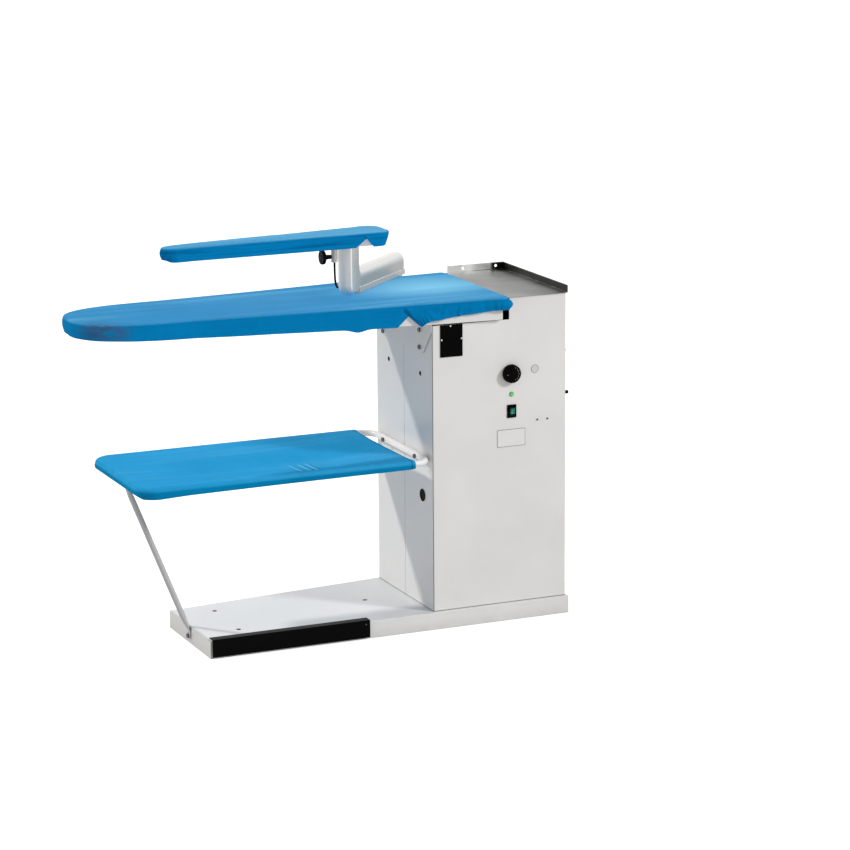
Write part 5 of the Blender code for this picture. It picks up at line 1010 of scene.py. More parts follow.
def hump(value: float, centre: float, width: float) -> float:
    """A bell of height 1 about a centre."""
    return math.exp(-((value - centre) / width) ** 2)


def ruffle(x: float, y: float, z: float = 0.0) -> float:
    """Soft noise from -1 to 1 that is the same on every run."""
    return noise.noise(Vector((x, y, z)))


def through(value: float, table: Heights) -> float:
    """The height at a place, read from a table of places and heights."""
    if value <= table[0][0]:
        return table[0][1]
    for (x0, z0), (x1, z1) in zip(table, table[1:]):
        if value <= x1:
            return z0 + (z1 - z0) * (value - x0) / (x1 - x0)
    return table[-1][1]


def front_corner(centre: Vector, radius: float, steps: int) -> list[Vector]:
    """Close points round a board's front right corner, from its front to its end."""
    turns = (QUARTER * k / steps for k in range(1, steps + 1))
    return [centre + Vector((math.sin(a), -math.cos(a), 0)) * radius for a in turns]


def over_edge(inner: Vector, out: Vector, crest: float, fold: float, flat: float,
              full: float) -> list[Vector]:
    """Points round a board's upper edge.

    Args:
        inner: Where the edge begins, on plan.
        out: Which way is out.
        crest: The height that it starts from.
        fold: Its radius.
        flat: How much of its drop it has.
        full: How much of its width it has.

    Returns:
        The points, from the top down.
    """
    turns = (QUARTER * k / 4 for k in range(1, 5))
    steps = ((fold * math.sin(a) * full, fold * (1 - math.cos(a)) * flat) for a in turns)
    return [inner + out * reach + UP * (crest - drop) for reach, drop in steps]


def tucked(edge: Vector, out: Vector, low: float, steps: Heights) -> list[Vector]:
    """Points of a hem that is turned under: each a way inwards and a rise over its lowest line."""
    return [edge - out * inward + UP * (low + rise) for inward, rise in steps]


@dataclass
class Stop:
    """One place on a board's edge: where it is, which way is out and where it is tied inside."""

    point: Vector
    out: Vector
    spine: Vector


Profile = Callable[[Stop], list[Vector]]


def walk(outline: Sequence[Vector], spacing: Callable[[Vector], float],
         spine: Callable[[Vector], Vector]) -> list[Stop]:
    """Stops along an outline, as close as the spacing asks.

    Args:
        outline: Close points along half of the board's edge.
        spacing: The distance that is wanted at a place.
        spine: The place on the board's middle line that a point is tied to.

    Returns:
        The stops, the first and the last at the outline's ends.
    """
    stops: list[Stop] = []
    gone = 0.0
    for i, point in enumerate(outline):
        gone += (point - outline[i - 1]).length if i else 0.0
        if i and i < len(outline) - 1 and gone < spacing(point):
            continue
        gone = 0.0
        run = outline[min(i + 2, len(outline) - 1)] - outline[max(i - 2, 0)]
        stops.append(Stop(point, Vector((run.y, -run.x, 0)).normalized(), spine(point)))
    return stops


def mirrored(stops: Sequence[Stop], middle: float) -> list[Stop]:
    """The same stops on the other side of the middle line, in the opposite order."""
    def flip(point: Vector) -> Vector:
        """A point on the other side."""
        return Vector((point.x, 2 * middle - point.y, point.z))

    return [Stop(flip(stop.point), Vector((stop.out.x, -stop.out.y, 0)), flip(stop.spine))
            for stop in reversed(stops)]


def tailored(name: str, stops: Sequence[Stop], profile: Profile, closed: bool,
             thick: float) -> tuple[Piece, float]:
    """Sews a cloth: one strip down its profile at every stop.

    Args:
        name: The piece's name.
        stops: The places round the edge.
        profile: The points from the middle line to the end of the hem at one stop.
        closed: Whether the last stop meets the first.
        thick: The cloth's thickness, on its inner side.

    Returns:
        The cloth and its area on one side, in square metres.
    """
    shape = bmesh.new()
    layer = shape.loops.layers.uv.new("cloth")
    columns, maps = [], []
    for stop in stops:
        line = profile(stop)
        spread, gone = [], 0.0
        for k, point in enumerate(line):
            gone += (point - line[k - 1]).length if k else 0.0
            spread.append(gone)
        start = stop.spine
        flat = Vector((stop.point.x - start.x, stop.point.y - start.y, 0))
        way = flat.normalized() if flat.length > TINY else stop.out
        maps.append([(start.x + way.x * d, start.y + way.y * d) for d in spread])
        columns.append([shape.verts.new(point) for point in line])
    count = len(columns)
    for i in range(count if closed else count - 1):
        j = (i + 1) % count
        for k in range(len(columns[0]) - 1):
            ring = [columns[i][k], columns[i][k + 1], columns[j][k + 1], columns[j][k]]
            spots = [maps[i][k], maps[i][k + 1], maps[j][k + 1], maps[j][k]]
            if len(set(ring)) == 4:
                for loop, spot in zip(shape.faces.new(ring).loops, spots):
                    loop[layer].uv = spot
    bmesh.ops.remove_doubles(shape, verts=shape.verts, dist=2 * TINY)
    shape.normal_update()
    if sum(face.normal.z * face.calc_area() for face in shape.faces) < 0:
        bmesh.ops.reverse_faces(shape, faces=shape.faces)
    area = sum(face.calc_area() for face in shape.faces)
    piece = from_shape(name, shape)
    body = piece.modifiers.new("thickness", "SOLIDIFY")
    body.thickness = thick
    body.offset = -1
    apply_all(piece)
    return soften(piece, CREASE), area


def pad_from(node: str, name: str, body: str, ease: float) -> Piece:
    """A stuffed pad in the place of a node: the node's own form with a soft rounded edge."""
    piece = eased(node, ease, 4, body, FELT, SOFT_EDGE)
    piece.name = name
    return piece


# ---------------------------------------------------------------- board
@dataclass
class Board:
    """The vacuum board: its blue cover with the notch and the gathered hem, and its pad."""

    tip: float = -0.712
    end: float = 0.496
    middle: float = -0.0150881
    half_wide: float = 0.2215
    half_narrow: float = 0.160
    nose: float = 0.307
    corner: float = 0.011
    top: float = 0.939
    fold: float = 0.006
    floor: float = 0.8730
    cabinet: float = 0.278
    tip_rise: float = 0.0217
    thick: float = 0.0012
    tuck: float = 0.012
    full: float = 0.714
    crown: float = 0.0018
    bulge: float = 0.0085
    slack: float = 0.0008
    belly: float = 0.0036
    pull: float = 0.060
    notch: Heights = ((0.1727, 0.8733), (0.2072, 0.9054), (0.2430, 0.8729))
    gathered_hem: Heights = ((0.2430, 0.8729), (0.2640, 0.8846), (0.3050, 0.8898), (0.3623, 0.8962),
                             (0.4663, 0.9042), (0.4960, 0.9042))
    flap_top: tuple[float, float] = (0.1962, 0.9282)
    flap_point: tuple[float, float] = (0.2430, 0.8729)
    across: tuple[float, ...] = (0.0, 0.06, 0.14, 0.24, 0.36, 0.48, 0.60, 0.72, 0.82, 0.90, 0.96,
                                 1.0)
    down: tuple[float, ...] = (0.10, 0.2, 0.32, 0.45, 0.58, 0.70, 0.80, 0.88, 0.94, 1.0)

    def outline(self) -> list[Vector]:
        """Half of the board's edge in close points, from the tip by the front to the blunt end."""
        shoulder = self.tip + self.nose
        reach = self.nose - self.slack / 2
        half = [Vector((shoulder - reach * math.cos(a) ** self.full,
                        self.middle - self.half_narrow * math.sin(a) ** self.full, 0))
                for a in (QUARTER * k / 900 for k in range(900))]
        first = Vector((shoulder, self.middle - self.half_narrow, 0))
        last = Vector((self.end - self.corner, self.middle - self.half_wide + self.slack, 0))
        half += [first.lerp(last, k / 1800) for k in range(1801)]
        half += front_corner(last + NORTH * self.corner, self.corner, 30)
        foot = half[-1]
        run = self.middle - foot.y
        shares = (k / 300 for k in range(1, 301))
        return half + [foot + Vector((self.belly * math.sin(QUARTER * min(1, 3 * t)), run * t, 0))
                       for t in shares]

    def spacing(self, point: Vector) -> float:
        """How close the stops stand: closest where the cloth is notched and gathered."""
        if point.y > self.middle - self.half_wide + 0.03 and point.x > 0.4:
            return 0.012
        for low, high, apart in ((0.165, 0.262, 0.0019), (0.262, 1.0, 0.0028), (0.02, 0.12, 0.005)):
            if low < point.x < high:
                return apart
        return 0.0095

    def hem(self, x: float, front: bool) -> float:
        """The height of the hem at a place along the board."""
        if x >= self.notch[-1][0]:
            return through(x, self.gathered_hem)
        if x >= self.notch[0][0]:
            return through(x, self.notch)
        low = self.floor + self.tip_rise * max(0.0, (self.cabinet - x) / (self.cabinet - self.tip))
        droop = 0.0075 * hump(x, self.pull, 0.024) if front else 0.0
        return low - droop + 0.0006 * ruffle(9 * x, 3.0 if front else 7.0)

    def stand(self, stop: Stop, height: float, share: float) -> float:
        """How far the skirt stands out at a height: its flap, its gathers and its full corner."""
        x, front = stop.point.x, stop.point.y < self.middle
        side = 0.0 if front else 5.3
        out = 0.0009 * ruffle(7 * x, 9 * height + side, 1.0) * share - 0.0012 * share * (1 - share)
        if x < 0.10:
            return out + 0.0022 * hump(x, self.pull, 0.022) * share * share
        out += self.flap(x, height) + self.gathers(x, height, share, side)
        corner = Vector((self.end, self.middle + (-self.half_wide if front else self.half_wide), 0))
        near = hump((stop.point - corner).length, 0.0, 0.032)
        full = 0.0050 + 0.0100 * math.sin(math.pi * min(1.0, share * 0.80)) - 0.002 * share
        return out + near * full

    def flap(self, x: float, height: float) -> float:
        """How far the flap beside the notch stands out past its crease and its hollow."""
        (x0, z0), (x1, z1) = self.flap_top, self.flap_point
        crease = x0 + (z0 - height) * (x1 - x0) / (z0 - z1)
        deep = smooth_step(z0 + 0.004 - height, 0.0, 0.014)
        over = smooth_step(x - crease, -0.0012, 0.0022) * deep
        lifted = over * (0.0016 + 0.0052 * math.exp(-max(0.0, x - crease) / 0.040))
        return lifted - 0.0034 * deep * hump(x, crease - 0.005, 0.005)

    def gathers(self, x: float, height: float, share: float, side: float) -> float:
        """How the gathered cloth towards the blunt end waves in and out."""
        loose = smooth_step(x, 0.205, 0.235)
        lean = (self.top - height) * 0.55 * math.exp(-max(0.0, x - 0.24) / 0.09)
        along = x - lean
        pitch = 9.5 + 9.0 * smooth_step(x, 0.24, 0.47)
        wave = math.cos(2 * math.pi * (1000 * along / pitch + 0.8 * ruffle(34 * along, side)))
        sharp = math.copysign(abs(wave) ** 0.75, wave)
        uneven = 0.75 + 0.5 * ruffle(21 * along, 2 + side)
        size = 0.0034 * (1 - 0.40 * smooth_step(x, 0.30, 0.45)) * uneven
        fine = 0.0010 * ruffle(85 * along, 25 * height, side) * share
        return loose * (size * sharp * share ** 0.85 + fine)

    def puff(self, stop: Stop, share: float) -> float:
        """How the cloth stands at the nose: full at half its height, drawn in at the hem."""
        fan = math.atan2(stop.point.y - self.middle, stop.spine.x - stop.point.x)
        folds = 0.0013 * math.cos(17 * fan + 2.0 * share) + 0.0012 * ruffle(9 * fan, 4 * share, 6.0)
        return 0.0026 * math.sin(math.pi * share) - 0.0040 * share ** 2 + 0.8 * folds * share

    def profile(self, stop: Stop) -> list[Vector]:
        """The cover's line from the board's middle over its edge and down to the tucked hem."""
        point, out, spine = stop.point, stop.out, stop.spine
        front = point.y < self.middle
        line = []
        nose = smooth_step(self.tip + 0.17 - point.x, 0.0, 0.13)
        corner = Vector((self.end, self.middle - self.half_wide, 0))
        plump = 0.0060 * hump((point - corner).length, 0.0, 0.030)
        fold = self.fold + 0.002 * nose - 0.003 * smooth_step(out.x, 0.6, 0.98)
        crest = self.top + self.crown * smooth_step(point.x, -0.10, 0.30)
        inner = point - out * (fold - plump)
        for t in self.across:
            place = spine.lerp(inner, t)
            groove = 0.0007 * hump(place.y, self.middle - 0.045 - 0.02 * place.x, 0.010)
            crease = 0.0006 * hump(place.y, self.middle - 0.105 - 0.03 * place.x, 0.014)
            lift = -groove - crease - 0.0005 * (1 - t) + 0.0003 * ruffle(5 * place.x, 11 * place.y)
            line.append(Vector((place.x, place.y, crest + lift)))
        flat = 1 - 0.2 * nose
        line += over_edge(inner, out, crest, fold, flat, 0.96)
        high, low = crest - fold * flat, self.hem(point.x, front)
        end_on = out.x > 0.9
        for share in self.down:
            height = high + (low + 0.0018 - high) * share
            push = self.stand(stop, height, share) + nose * self.puff(stop, share)
            if end_on:
                push = min(push, 0.0004) - 0.002 * share
            place = point + out * push + UP * height
            clear = smooth_step(-0.2195 - place.y, 0.0, 0.006)
            clear *= hump((point - corner).length, 0.0, 0.026)
            round_out = math.sin(math.pi * min(1.0, 0.12 + 0.80 * share))
            line.append(place + EAST * (self.bulge * clear * round_out))
        push = (line[-1] - point).dot(out)
        free = smooth_step(point.x, 0.155, 0.170)
        free += 0.75 * hump(point.x, self.pull, 0.02) if front else 0.0
        tuck = self.tuck + (0.0035 - self.tuck) * min(1.0, free)
        return line + tucked(point + out * push, out, low, (
            (-0.0005, 0.0007), (0.0004, 0.0001), (tuck * 0.5, 0.0), (tuck, 0.0004)))

    def spine(self, point: Vector) -> Vector:
        """The place on the middle line that a point of the edge is tied to."""
        x = min(max(point.x, self.tip + self.nose * 0.9), self.end - 0.20)
        return Vector((x, self.middle, 0))

    def build(self) -> None:
        """Makes the pad and the cover."""
        pad_from("board_pad", "board_pad_foam", "table", 0.0047)
        half = walk(self.outline(), self.spacing, self.spine)
        ring = half + mirrored(half, self.middle)[1:-1]
        cover, area = tailored("board_cover_cloth", ring, self.profile, True, self.thick)
        hand_over(cover, "table", "blue_cloth", BOARD_CLOTH, ["board_cover"])
        eased("board_plenum", 0.0009)
        eased("board_bracket", 0.0010, finish=BRACKET_ENAMEL)
        LOG.info("board: cover of %.3f square metres, %d stops", area, len(ring))


# ---------------------------------------------------------------- sleeve board
@dataclass
class SleeveBoard:
    """The narrow board on the arm: its cover, notched beside the column, and its pad."""

    seat: Vector = SLEEVE_SEAT
    turn: float = math.radians(4.4)
    root: float = 0.111
    length: float = 0.680
    half_root: float = 0.058
    half_tip: float = 0.028
    corner: float = 0.034
    nose: float = 0.050
    top: float = 1.122
    fold: float = 0.006
    rise: float = 0.002
    level: float = 0.070
    tuck: float = 0.008
    thick: float = 0.0011
    notch: Heights = ((-0.004, 1.0790), (0.029, 1.1030), (0.050, 1.0790))
    across: tuple[float, ...] = (0.0, 0.12, 0.28, 0.46, 0.64, 0.80, 0.92, 1.0)
    down: tuple[float, ...] = (0.12, 0.26, 0.42, 0.58, 0.72, 0.84, 0.93, 1.0)

    def outline(self) -> list[Vector]:
        """Half of the board's edge in close points about its seat, from the tip to the root."""
        tip = self.root - self.length
        start = tip + self.nose
        half = [Vector((start + self.nose * math.cos(a), self.half_tip * math.sin(a), 0))
                for a in (math.pi + QUARTER * k / 150 for k in range(150))]
        first = Vector((start, -self.half_tip, 0))
        last = Vector((self.root - self.corner, -self.half_root, 0))
        half += [first.lerp(last, k / 1200) for k in range(1201)]
        half += front_corner(last + NORTH * self.corner, self.corner, 80)
        foot = half[-1]
        return half + [foot + NORTH * (-foot.y * k / 60) for k in range(1, 61)]

    def spacing(self, point: Vector) -> float:
        """How close the stops stand."""
        if -0.015 < point.x < 0.060:
            return 0.0016
        return 0.0030 if point.x > 0.060 or point.x < -0.500 else 0.0075

    def hem(self, x: float) -> float:
        """The height of the hem at a place along the board."""
        if self.notch[0][0] < x < self.notch[-1][0]:
            return through(x, self.notch)
        tip = self.root - self.length
        return self.notch[0][1] + self.rise * max(0.0, (-self.level - x) / (-self.level - tip))

    def stand(self, stop: Stop, height: float, share: float) -> float:
        """How far the skirt stands out: the flap beside the column, the folds at both ends."""
        x, side = stop.point.x, math.copysign(1.0, stop.point.y)
        out = -0.0010 * share * (1 - share) + 0.0006 * ruffle(16 * x, 18 * height, side) * share
        crease = 0.022 + (1.1130 - height) * 0.62
        deep = smooth_step(1.1135 - height, 0.0, 0.008)
        over = deep * smooth_step(x - crease, -0.0010, 0.0016)
        out += over * 0.0026 * math.exp(-max(0, x - crease) / 0.03)
        out -= 0.0014 * deep * hump(x, crease - 0.005, 0.004)
        bunch = hump(x, 0.056, 0.020)
        turns = (x - (1.115 - height) * 0.5) / 0.0085
        out += 0.0011 * bunch * math.cos(2 * math.pi * turns) * share
        out -= 0.0100 * smooth_step(x, 0.072, 0.104) * share ** 1.4
        nose = smooth_step(-0.515 - x, 0.0, 0.03)
        fan = math.atan2(stop.point.y, -(x + 0.50))
        belly = 0.0030 * math.sin(math.pi * share)
        belly += share * (0.0015 * math.cos(9 * fan) - 0.0035 * share)
        return out + nose * belly

    def profile(self, stop: Stop) -> list[Vector]:
        """The cover's line from the middle over the edge and down to the tucked hem."""
        point, out, spine = stop.point, stop.out, stop.spine
        nose = smooth_step(-0.475 - point.x, 0.0, 0.06)
        fold = self.fold + 0.0012 * nose
        side = math.copysign(4.0, point.y)
        inner = point - out * fold
        line = []
        for t in self.across:
            place = spine.lerp(inner, t)
            lift = 0.0004 * ruffle(9 * place.x, 30 * place.y)
            lift -= 0.0008 * (1 - t) * hump(place.x, 0.02, 0.05)
            worn = t ** 3 * smooth_step(place.x, -0.45, -0.05)
            lift -= worn * (0.0012 + 0.0016 * ruffle(24 * place.x, side))
            sink = 0.0008 * smooth_step(-0.46 - place.x, 0.0, 0.10)
            line.append(Vector((place.x, place.y, self.top - 0.0003 + lift - sink)))
        crest = line[-1].z
        flat = 1 - 0.2 * nose
        line += over_edge(inner, out, crest, fold, flat, 0.97)
        tip = smooth_step(-0.545 - point.x, 0.0, 0.024)
        high, low = crest - fold * flat, self.hem(point.x) - 0.0010 * nose + 0.0065 * tip
        for share in self.down:
            height = high + (low + 0.0016 - high) * share
            line.append(point + out * self.stand(stop, height, share) + UP * height)
        push = (line[-1] - point).dot(out)
        inside = smooth_step(point.x, -0.016, -0.006) * (1 - smooth_step(point.x, 0.052, 0.062))
        tuck = self.tuck - 0.0048 * inside
        line += tucked(point + out * push, out, low, (
            (-0.0004, 0.0006), (0.0004, 0.0001), (tuck * 0.5, 0.0), (tuck, 0.0004)))
        turn = Matrix.Rotation(self.turn, 3, "Z")
        return [turn @ place + self.seat for place in line]

    def spine(self, point: Vector) -> Vector:
        """The place on the middle line that a point of the edge is tied to."""
        return Vector((min(max(point.x, self.root - self.length + 0.045), self.root - 0.060), 0, 0))

    def build(self) -> None:
        """Makes the pad and the cover, and eases the shell."""
        pad_from("sleeve_pad", "sleeve_pad_foam", "arm", 0.0038)
        half = walk(self.outline(), self.spacing, self.spine)
        ring = half + mirrored(half, 0.0)[1:-1]
        cover, area = tailored("sleeve_cover_cloth", ring, self.profile, True, self.thick)
        hand_over(cover, "arm", "blue_cloth", SLEEVE_CLOTH, ["sleeve_cover"])
        eased("sleeve_shell", 0.0008, body="arm")
        LOG.info("sleeve board: cover of %.4f square metres, %d stops", area, len(ring))


# ---------------------------------------------------------------- swivel arm
@dataclass
class SwivelArm:
    """The hollow arm with its clamp: the tube beside the column, the screw knob and the lead."""

    pivot: Vector = BASE_CORNER + Vector((0.752, 0.448, 0))
    column: Vector = SLEEVE_SEAT
    arm_half: float = 0.021
    clamp_along: float = -0.0271
    tube_radius: float = 0.0095
    stand_off: float = 0.001
    column_top: float = 1.0810
    tube_length: float = 0.047
    lead_radius: float = 0.003
    lead_swing: float = 0.007
    lead_drop: float = 0.072
    lead_end: float = 0.75
    lip_from: float = 0.062
    lip_ease: float = 0.010
    lip_shift: float = 0.022
    knob_seat: Vector = Vector((0.0746348, -0.004141, 1.0498))
    knob_radius: float = 0.020
    knob_thick: float = 0.012
    neck_radius: float = 0.006
    grip_length: float = 0.019
    groove_faces: int = 4
    lobes: int = 12

    def at(self, along: float, across: float, height: float) -> Vector:
        """A place on the arm, measured along it and across it from the column."""
        along_way = (self.pivot - self.column).normalized()
        across_way = Vector((along_way.y, -along_way.x, 0))
        return self.column + along_way * along + across_way * across + UP * height

    def lead_route(self) -> list[Vector]:
        """The middle line of the lead, from the tube's foot down into the side of the column."""
        reach = -(self.arm_half + self.tube_radius + self.stand_off)
        foot = self.column_top - self.tube_length
        top = self.at(self.clamp_along, reach, foot - GAP)
        end = self.at(self.clamp_along * self.lead_end, -(self.arm_half + GAP),
                      foot - self.lead_drop)
        across_way = self.at(0, 1, 0) - self.at(0, 0, 0)
        near = end - across_way * (2 * self.lead_radius)
        drop = (top.z - end.z) / 2
        swing = near - across_way * self.lead_swing + UP * self.lead_swing
        held = [top, top - UP * drop, swing, near]
        route = []
        for k in range(15):
            t = k / 14
            shares = ((1 - t) ** 3, 3 * t * (1 - t) ** 2, 3 * t * t * (1 - t), t ** 3)
            route.append(sum((point * share for point, share in zip(held, shares)), Vector()))
        return route + [end]

    def build_lead(self) -> None:
        """Makes the lead as a free cord of its real length."""
        route = self.lead_route()
        curve = bpy.data.curves.new("sleeve_lead_cord", "CURVE")
        curve.dimensions = "3D"
        curve.bevel_depth = self.lead_radius
        curve.bevel_resolution = 4
        curve.use_fill_caps = True
        spline = curve.splines.new("POLY")
        spline.points.add(len(route) - 1)
        for spot, place in zip(spline.points, route):
            spot.co = (*place, 1)
        piece = placed("sleeve_lead_cord", curve)
        hand_over(piece, "arm", "black_rubber", BLACK_RUBBER, ["sleeve_lead"])
        length = sum((b - a).length for a, b in zip(route, route[1:]))
        tuple(route[0])
        LOG.info("swivel arm: lead of %.1f mm", 1000 * length)

    def build_knob(self) -> None:
        """Makes the lobed screw knob with its neck and its stud."""
        seat, way = self.knob_seat, -EAST
        neck = self.tube_radius + GAP
        sides = self.groove_faces * self.lobes
        bench = Bench.round_bar("sleeve_clamp_grip", seat + way * neck, way, self.neck_radius,
                                self.grip_length, sides)
        face = seat + way * (neck + self.grip_length)
        bench.faces(facing(way)).scale(1.18, face)
        bench.draw(way * 0.0008).scale(self.knob_radius * 0.93 / 0.00708, face)
        bench.draw(way * 0.0016).scale(1 / 0.93, face).draw(way * (self.knob_thick - 0.0044))
        bench.draw(way * 0.0016).scale(0.93, face).inset(0.0030).inset(0.0012, -0.0008)
        bench.inset(0.0065).inset(0.0008, 0.0006)

        def groove(centre: Vector, normal: Vector) -> bool:
            """Every fourth face of the rim, for the finger grooves."""
            angle = math.degrees(math.atan2(centre.z - seat.z, centre.y - seat.y)) % 360
            rim = abs(normal.x) < 0.35 and math.hypot(centre.y - seat.y, centre.z - seat.z) > 0.018
            return rim and int(angle / (360 / sides)) % self.groove_faces == 0

        bench.faces(groove).inset(0.0006, -0.0009)
        bench.faces(lambda c, n: n.dot(way) < -0.9 and (c - seat).dot(way) < neck + 0.001)
        bench.inset(0.0028).draw(-way * (neck - 0.0068))
        grip = bench.done(0.0004)
        hand_over(grip, "clamp_knob", "black_plastic", BLACK_MOULDING, ["sleeve_clamp_knob"])
        LOG.info("swivel arm: knob with %d grooves", self.lobes)

    def build(self) -> None:
        """Dresses the arm and makes its clamp."""
        _, lip, _ = (eased(node, 0.0006, body="arm", least=math.radians(40), finish=finish)
                     for node, finish in (("arm_duct", ARM_ENAMEL), ("arm_duct_lip", LIP_ENAMEL),
                                          ("sleeve_clamp_tube", CLAMP_ENAMEL)))
        way = (self.pivot - self.column).normalized()
        for vertex in lip.data.vertices:
            along = (vertex.co - self.column).dot(way)
            share = smooth_step(self.lip_from - along, 0.0, self.lip_ease)
            vertex.co -= way * (self.lip_shift * share)
        self.build_knob()


# ---------------------------------------------------------------- lower tray
@dataclass
class LowerTray:
    """The cloth tray under the board, sewn round three sides of the tube loop."""

    left: float = -0.576
    right: float = 0.209
    front: float = -0.2206881
    rear: float = 0.2017119
    axis: float = 0.487
    reach: float = 0.0118
    bend: float = 0.048
    sag: float = 0.009
    tuck: float = 0.0115
    cap: float = 0.0115
    thick: float = 0.0012
    creases: tuple[float, ...] = PULLS
    hang: Heights = ((-0.5878, 0.0010), (-0.5740, 0.0090), (-0.5350, 0.0090), (-0.4500, 0.0055),
                     (-0.2000, 0.0030), (0.2090, 0.0012))
    across: tuple[float, ...] = (0.0, 0.10, 0.22, 0.34, 0.46, 0.56, 0.66, 0.74, 0.81, 0.87, 0.92,
                                 0.96, 1.0)
    down: tuple[float, ...] = (0.35, 0.7, 0.92)

    @property
    def middle(self) -> float:
        """The middle line of the loop."""
        return (self.front + self.rear) / 2

    def outline(self) -> list[Vector]:
        """Half of the cloth's edge, from the left end's middle by the front to the free edge."""
        left, front = self.left - self.reach, self.front - self.reach
        radius = self.bend + self.reach
        run = self.middle - front - radius
        half = [Vector((left, self.middle - run * k / 200, 0)) for k in range(201)]
        centre = Vector((left + radius, front + radius, 0))
        half += [centre - Vector((math.cos(a), math.sin(a), 0)) * radius
                 for a in (QUARTER * k / 90 for k in range(1, 91))]
        start = half[-1]
        end = Vector((self.right - 0.002, start.y, 0))
        return half + [start.lerp(end, k / 1200) for k in range(1, 1201)]

    def spacing(self, point: Vector) -> float:
        """How close the stops stand."""
        if -0.16 < point.x < 0.12:
            return 0.0026
        return 0.0045 if point.x < self.left + 0.06 else 0.012

    def dip(self, place: Vector, share: float) -> float:
        """How far the top sheet lies below the tubes, with the small wrinkles near the front."""
        taut = 0.3 + 0.7 * smooth_step(self.right - place.x, 0.0, 0.22)
        slack = self.sag * (1 - share ** 3) * taut
        slack *= 0.4 + 0.6 * smooth_step(place.x, self.left, self.left + 0.2)
        slant = place.x * 0.80 + place.y * 0.60
        lump = ruffle(26 * slant, 7 * (place.y - place.x), 3.0)
        near = hump(place.x, 0.0, 0.13) * smooth_step(share, 0.15, 0.55)
        near *= 1 - smooth_step(share, 0.92, 1.0)
        edge = 0.0007 * ruffle(30 * place.x, 12 * place.y, 8.0) * (1 - share ** 6)
        pucker = 0.0
        if place.y <= self.middle:
            pucker = sum(hump(place.x, start + PULL, 0.0045) - 0.7 * hump(place.x, start, 0.0045)
                         for start in self.creases)
            pucker *= 0.0014 * smooth_step(share, 0.30, 0.58) * (1 - smooth_step(share, 0.90, 0.98))
        return slack - near * 0.0020 * lump - edge - pucker

    def profile(self, stop: Stop) -> list[Vector]:
        """The cloth's line from the middle over the tube and round under it."""
        point, out, spine = stop.point, stop.out, stop.spine
        line = []
        top = self.axis + self.reach
        inner = point - out * self.reach
        for t in self.across:
            place = spine.lerp(inner, t)
            line.append(Vector((place.x, place.y, top - self.dip(place, t))))
        for k in range(1, 6):
            a = QUARTER * k / 5
            height = self.axis + self.reach * math.cos(a)
            line.append(inner + out * self.reach * math.sin(a) + UP * height)
        low = self.axis - self.reach - through(point.x, self.hang)
        belly = 0.0026 * smooth_step(self.left + 0.02 - point.x, 0.0, 0.02)
        for share in self.down:
            ripple = 0.0006 * ruffle(22 * point.x, 14 * point.y, share) * share
            ripple += belly * (1 - share)
            line.append(point + out * ripple + UP * (self.axis + (low + 0.001 - self.axis) * share))
        return line + tucked(point, out, low, (
            (0.0006, 0.0004), (self.tuck * 0.5, 0.0), (self.tuck, 0.0006)))

    def build(self) -> None:
        """Makes the cloth, with its free edge turned under and gathered round both tubes."""
        half = walk(self.outline(), self.spacing,
                    lambda p: Vector((max(p.x, self.left + 0.19), self.middle, 0)))
        last = half[-1]
        for k in range(1, 9):
            a = QUARTER * k / 8
            shift = EAST * (self.cap * math.sin(a))
            point = last.point + shift + UP * (1 - math.cos(a))
            half.append(Stop(point, last.out, last.spine + shift))

        def line(stop: Stop) -> list[Vector]:
            """The profile, drawn in round the tube as the free edge turns under."""
            flat = Stop(Vector((stop.point.x, stop.point.y, 0)), stop.out,
                        Vector((stop.spine.x, stop.spine.y, 0)))
            places = self.profile(flat)
            turned = stop.point.z
            if not turned:
                return places
            made = []
            for place in places:
                from_tube = abs(place.y - self.middle) - (self.middle - self.front)
                on_tube = smooth_step(from_tube, -0.030, -0.008)
                level = self.axis + (place.z - self.axis) * (1 - 0.20 * turned * on_tube)
                if place.z < self.axis - self.reach:
                    level = max(level, self.axis - self.reach + 0.0008 * turned)
                level -= 0.0050 * turned * (1 - on_tube)
                edge = Vector((0.0045 * (1 - on_tube) * turned, 0, 0))
                made.append(Vector((place.x, place.y, level)) - edge)
            return made

        far = mirrored(half, self.middle)
        cloth, area = tailored("lower_tray_cloth", far[:-1] + half, line, False, self.thick)
        hand_over(cloth, "table", "blue_cloth", TRAY_CLOTH, ["lower_cloth"])
        LOG.info("lower tray: cloth of %.3f square metres, %d stops", area, len(half))


# ---------------------------------------------------------------- fasteners
class Head(Enum):
    """The kinds of bolt head on the table."""

    HEXAGON = "hexagon on a washer"
    SOCKET = "round with a hexagon socket"
    CROSS = "small pan with a cross slot"


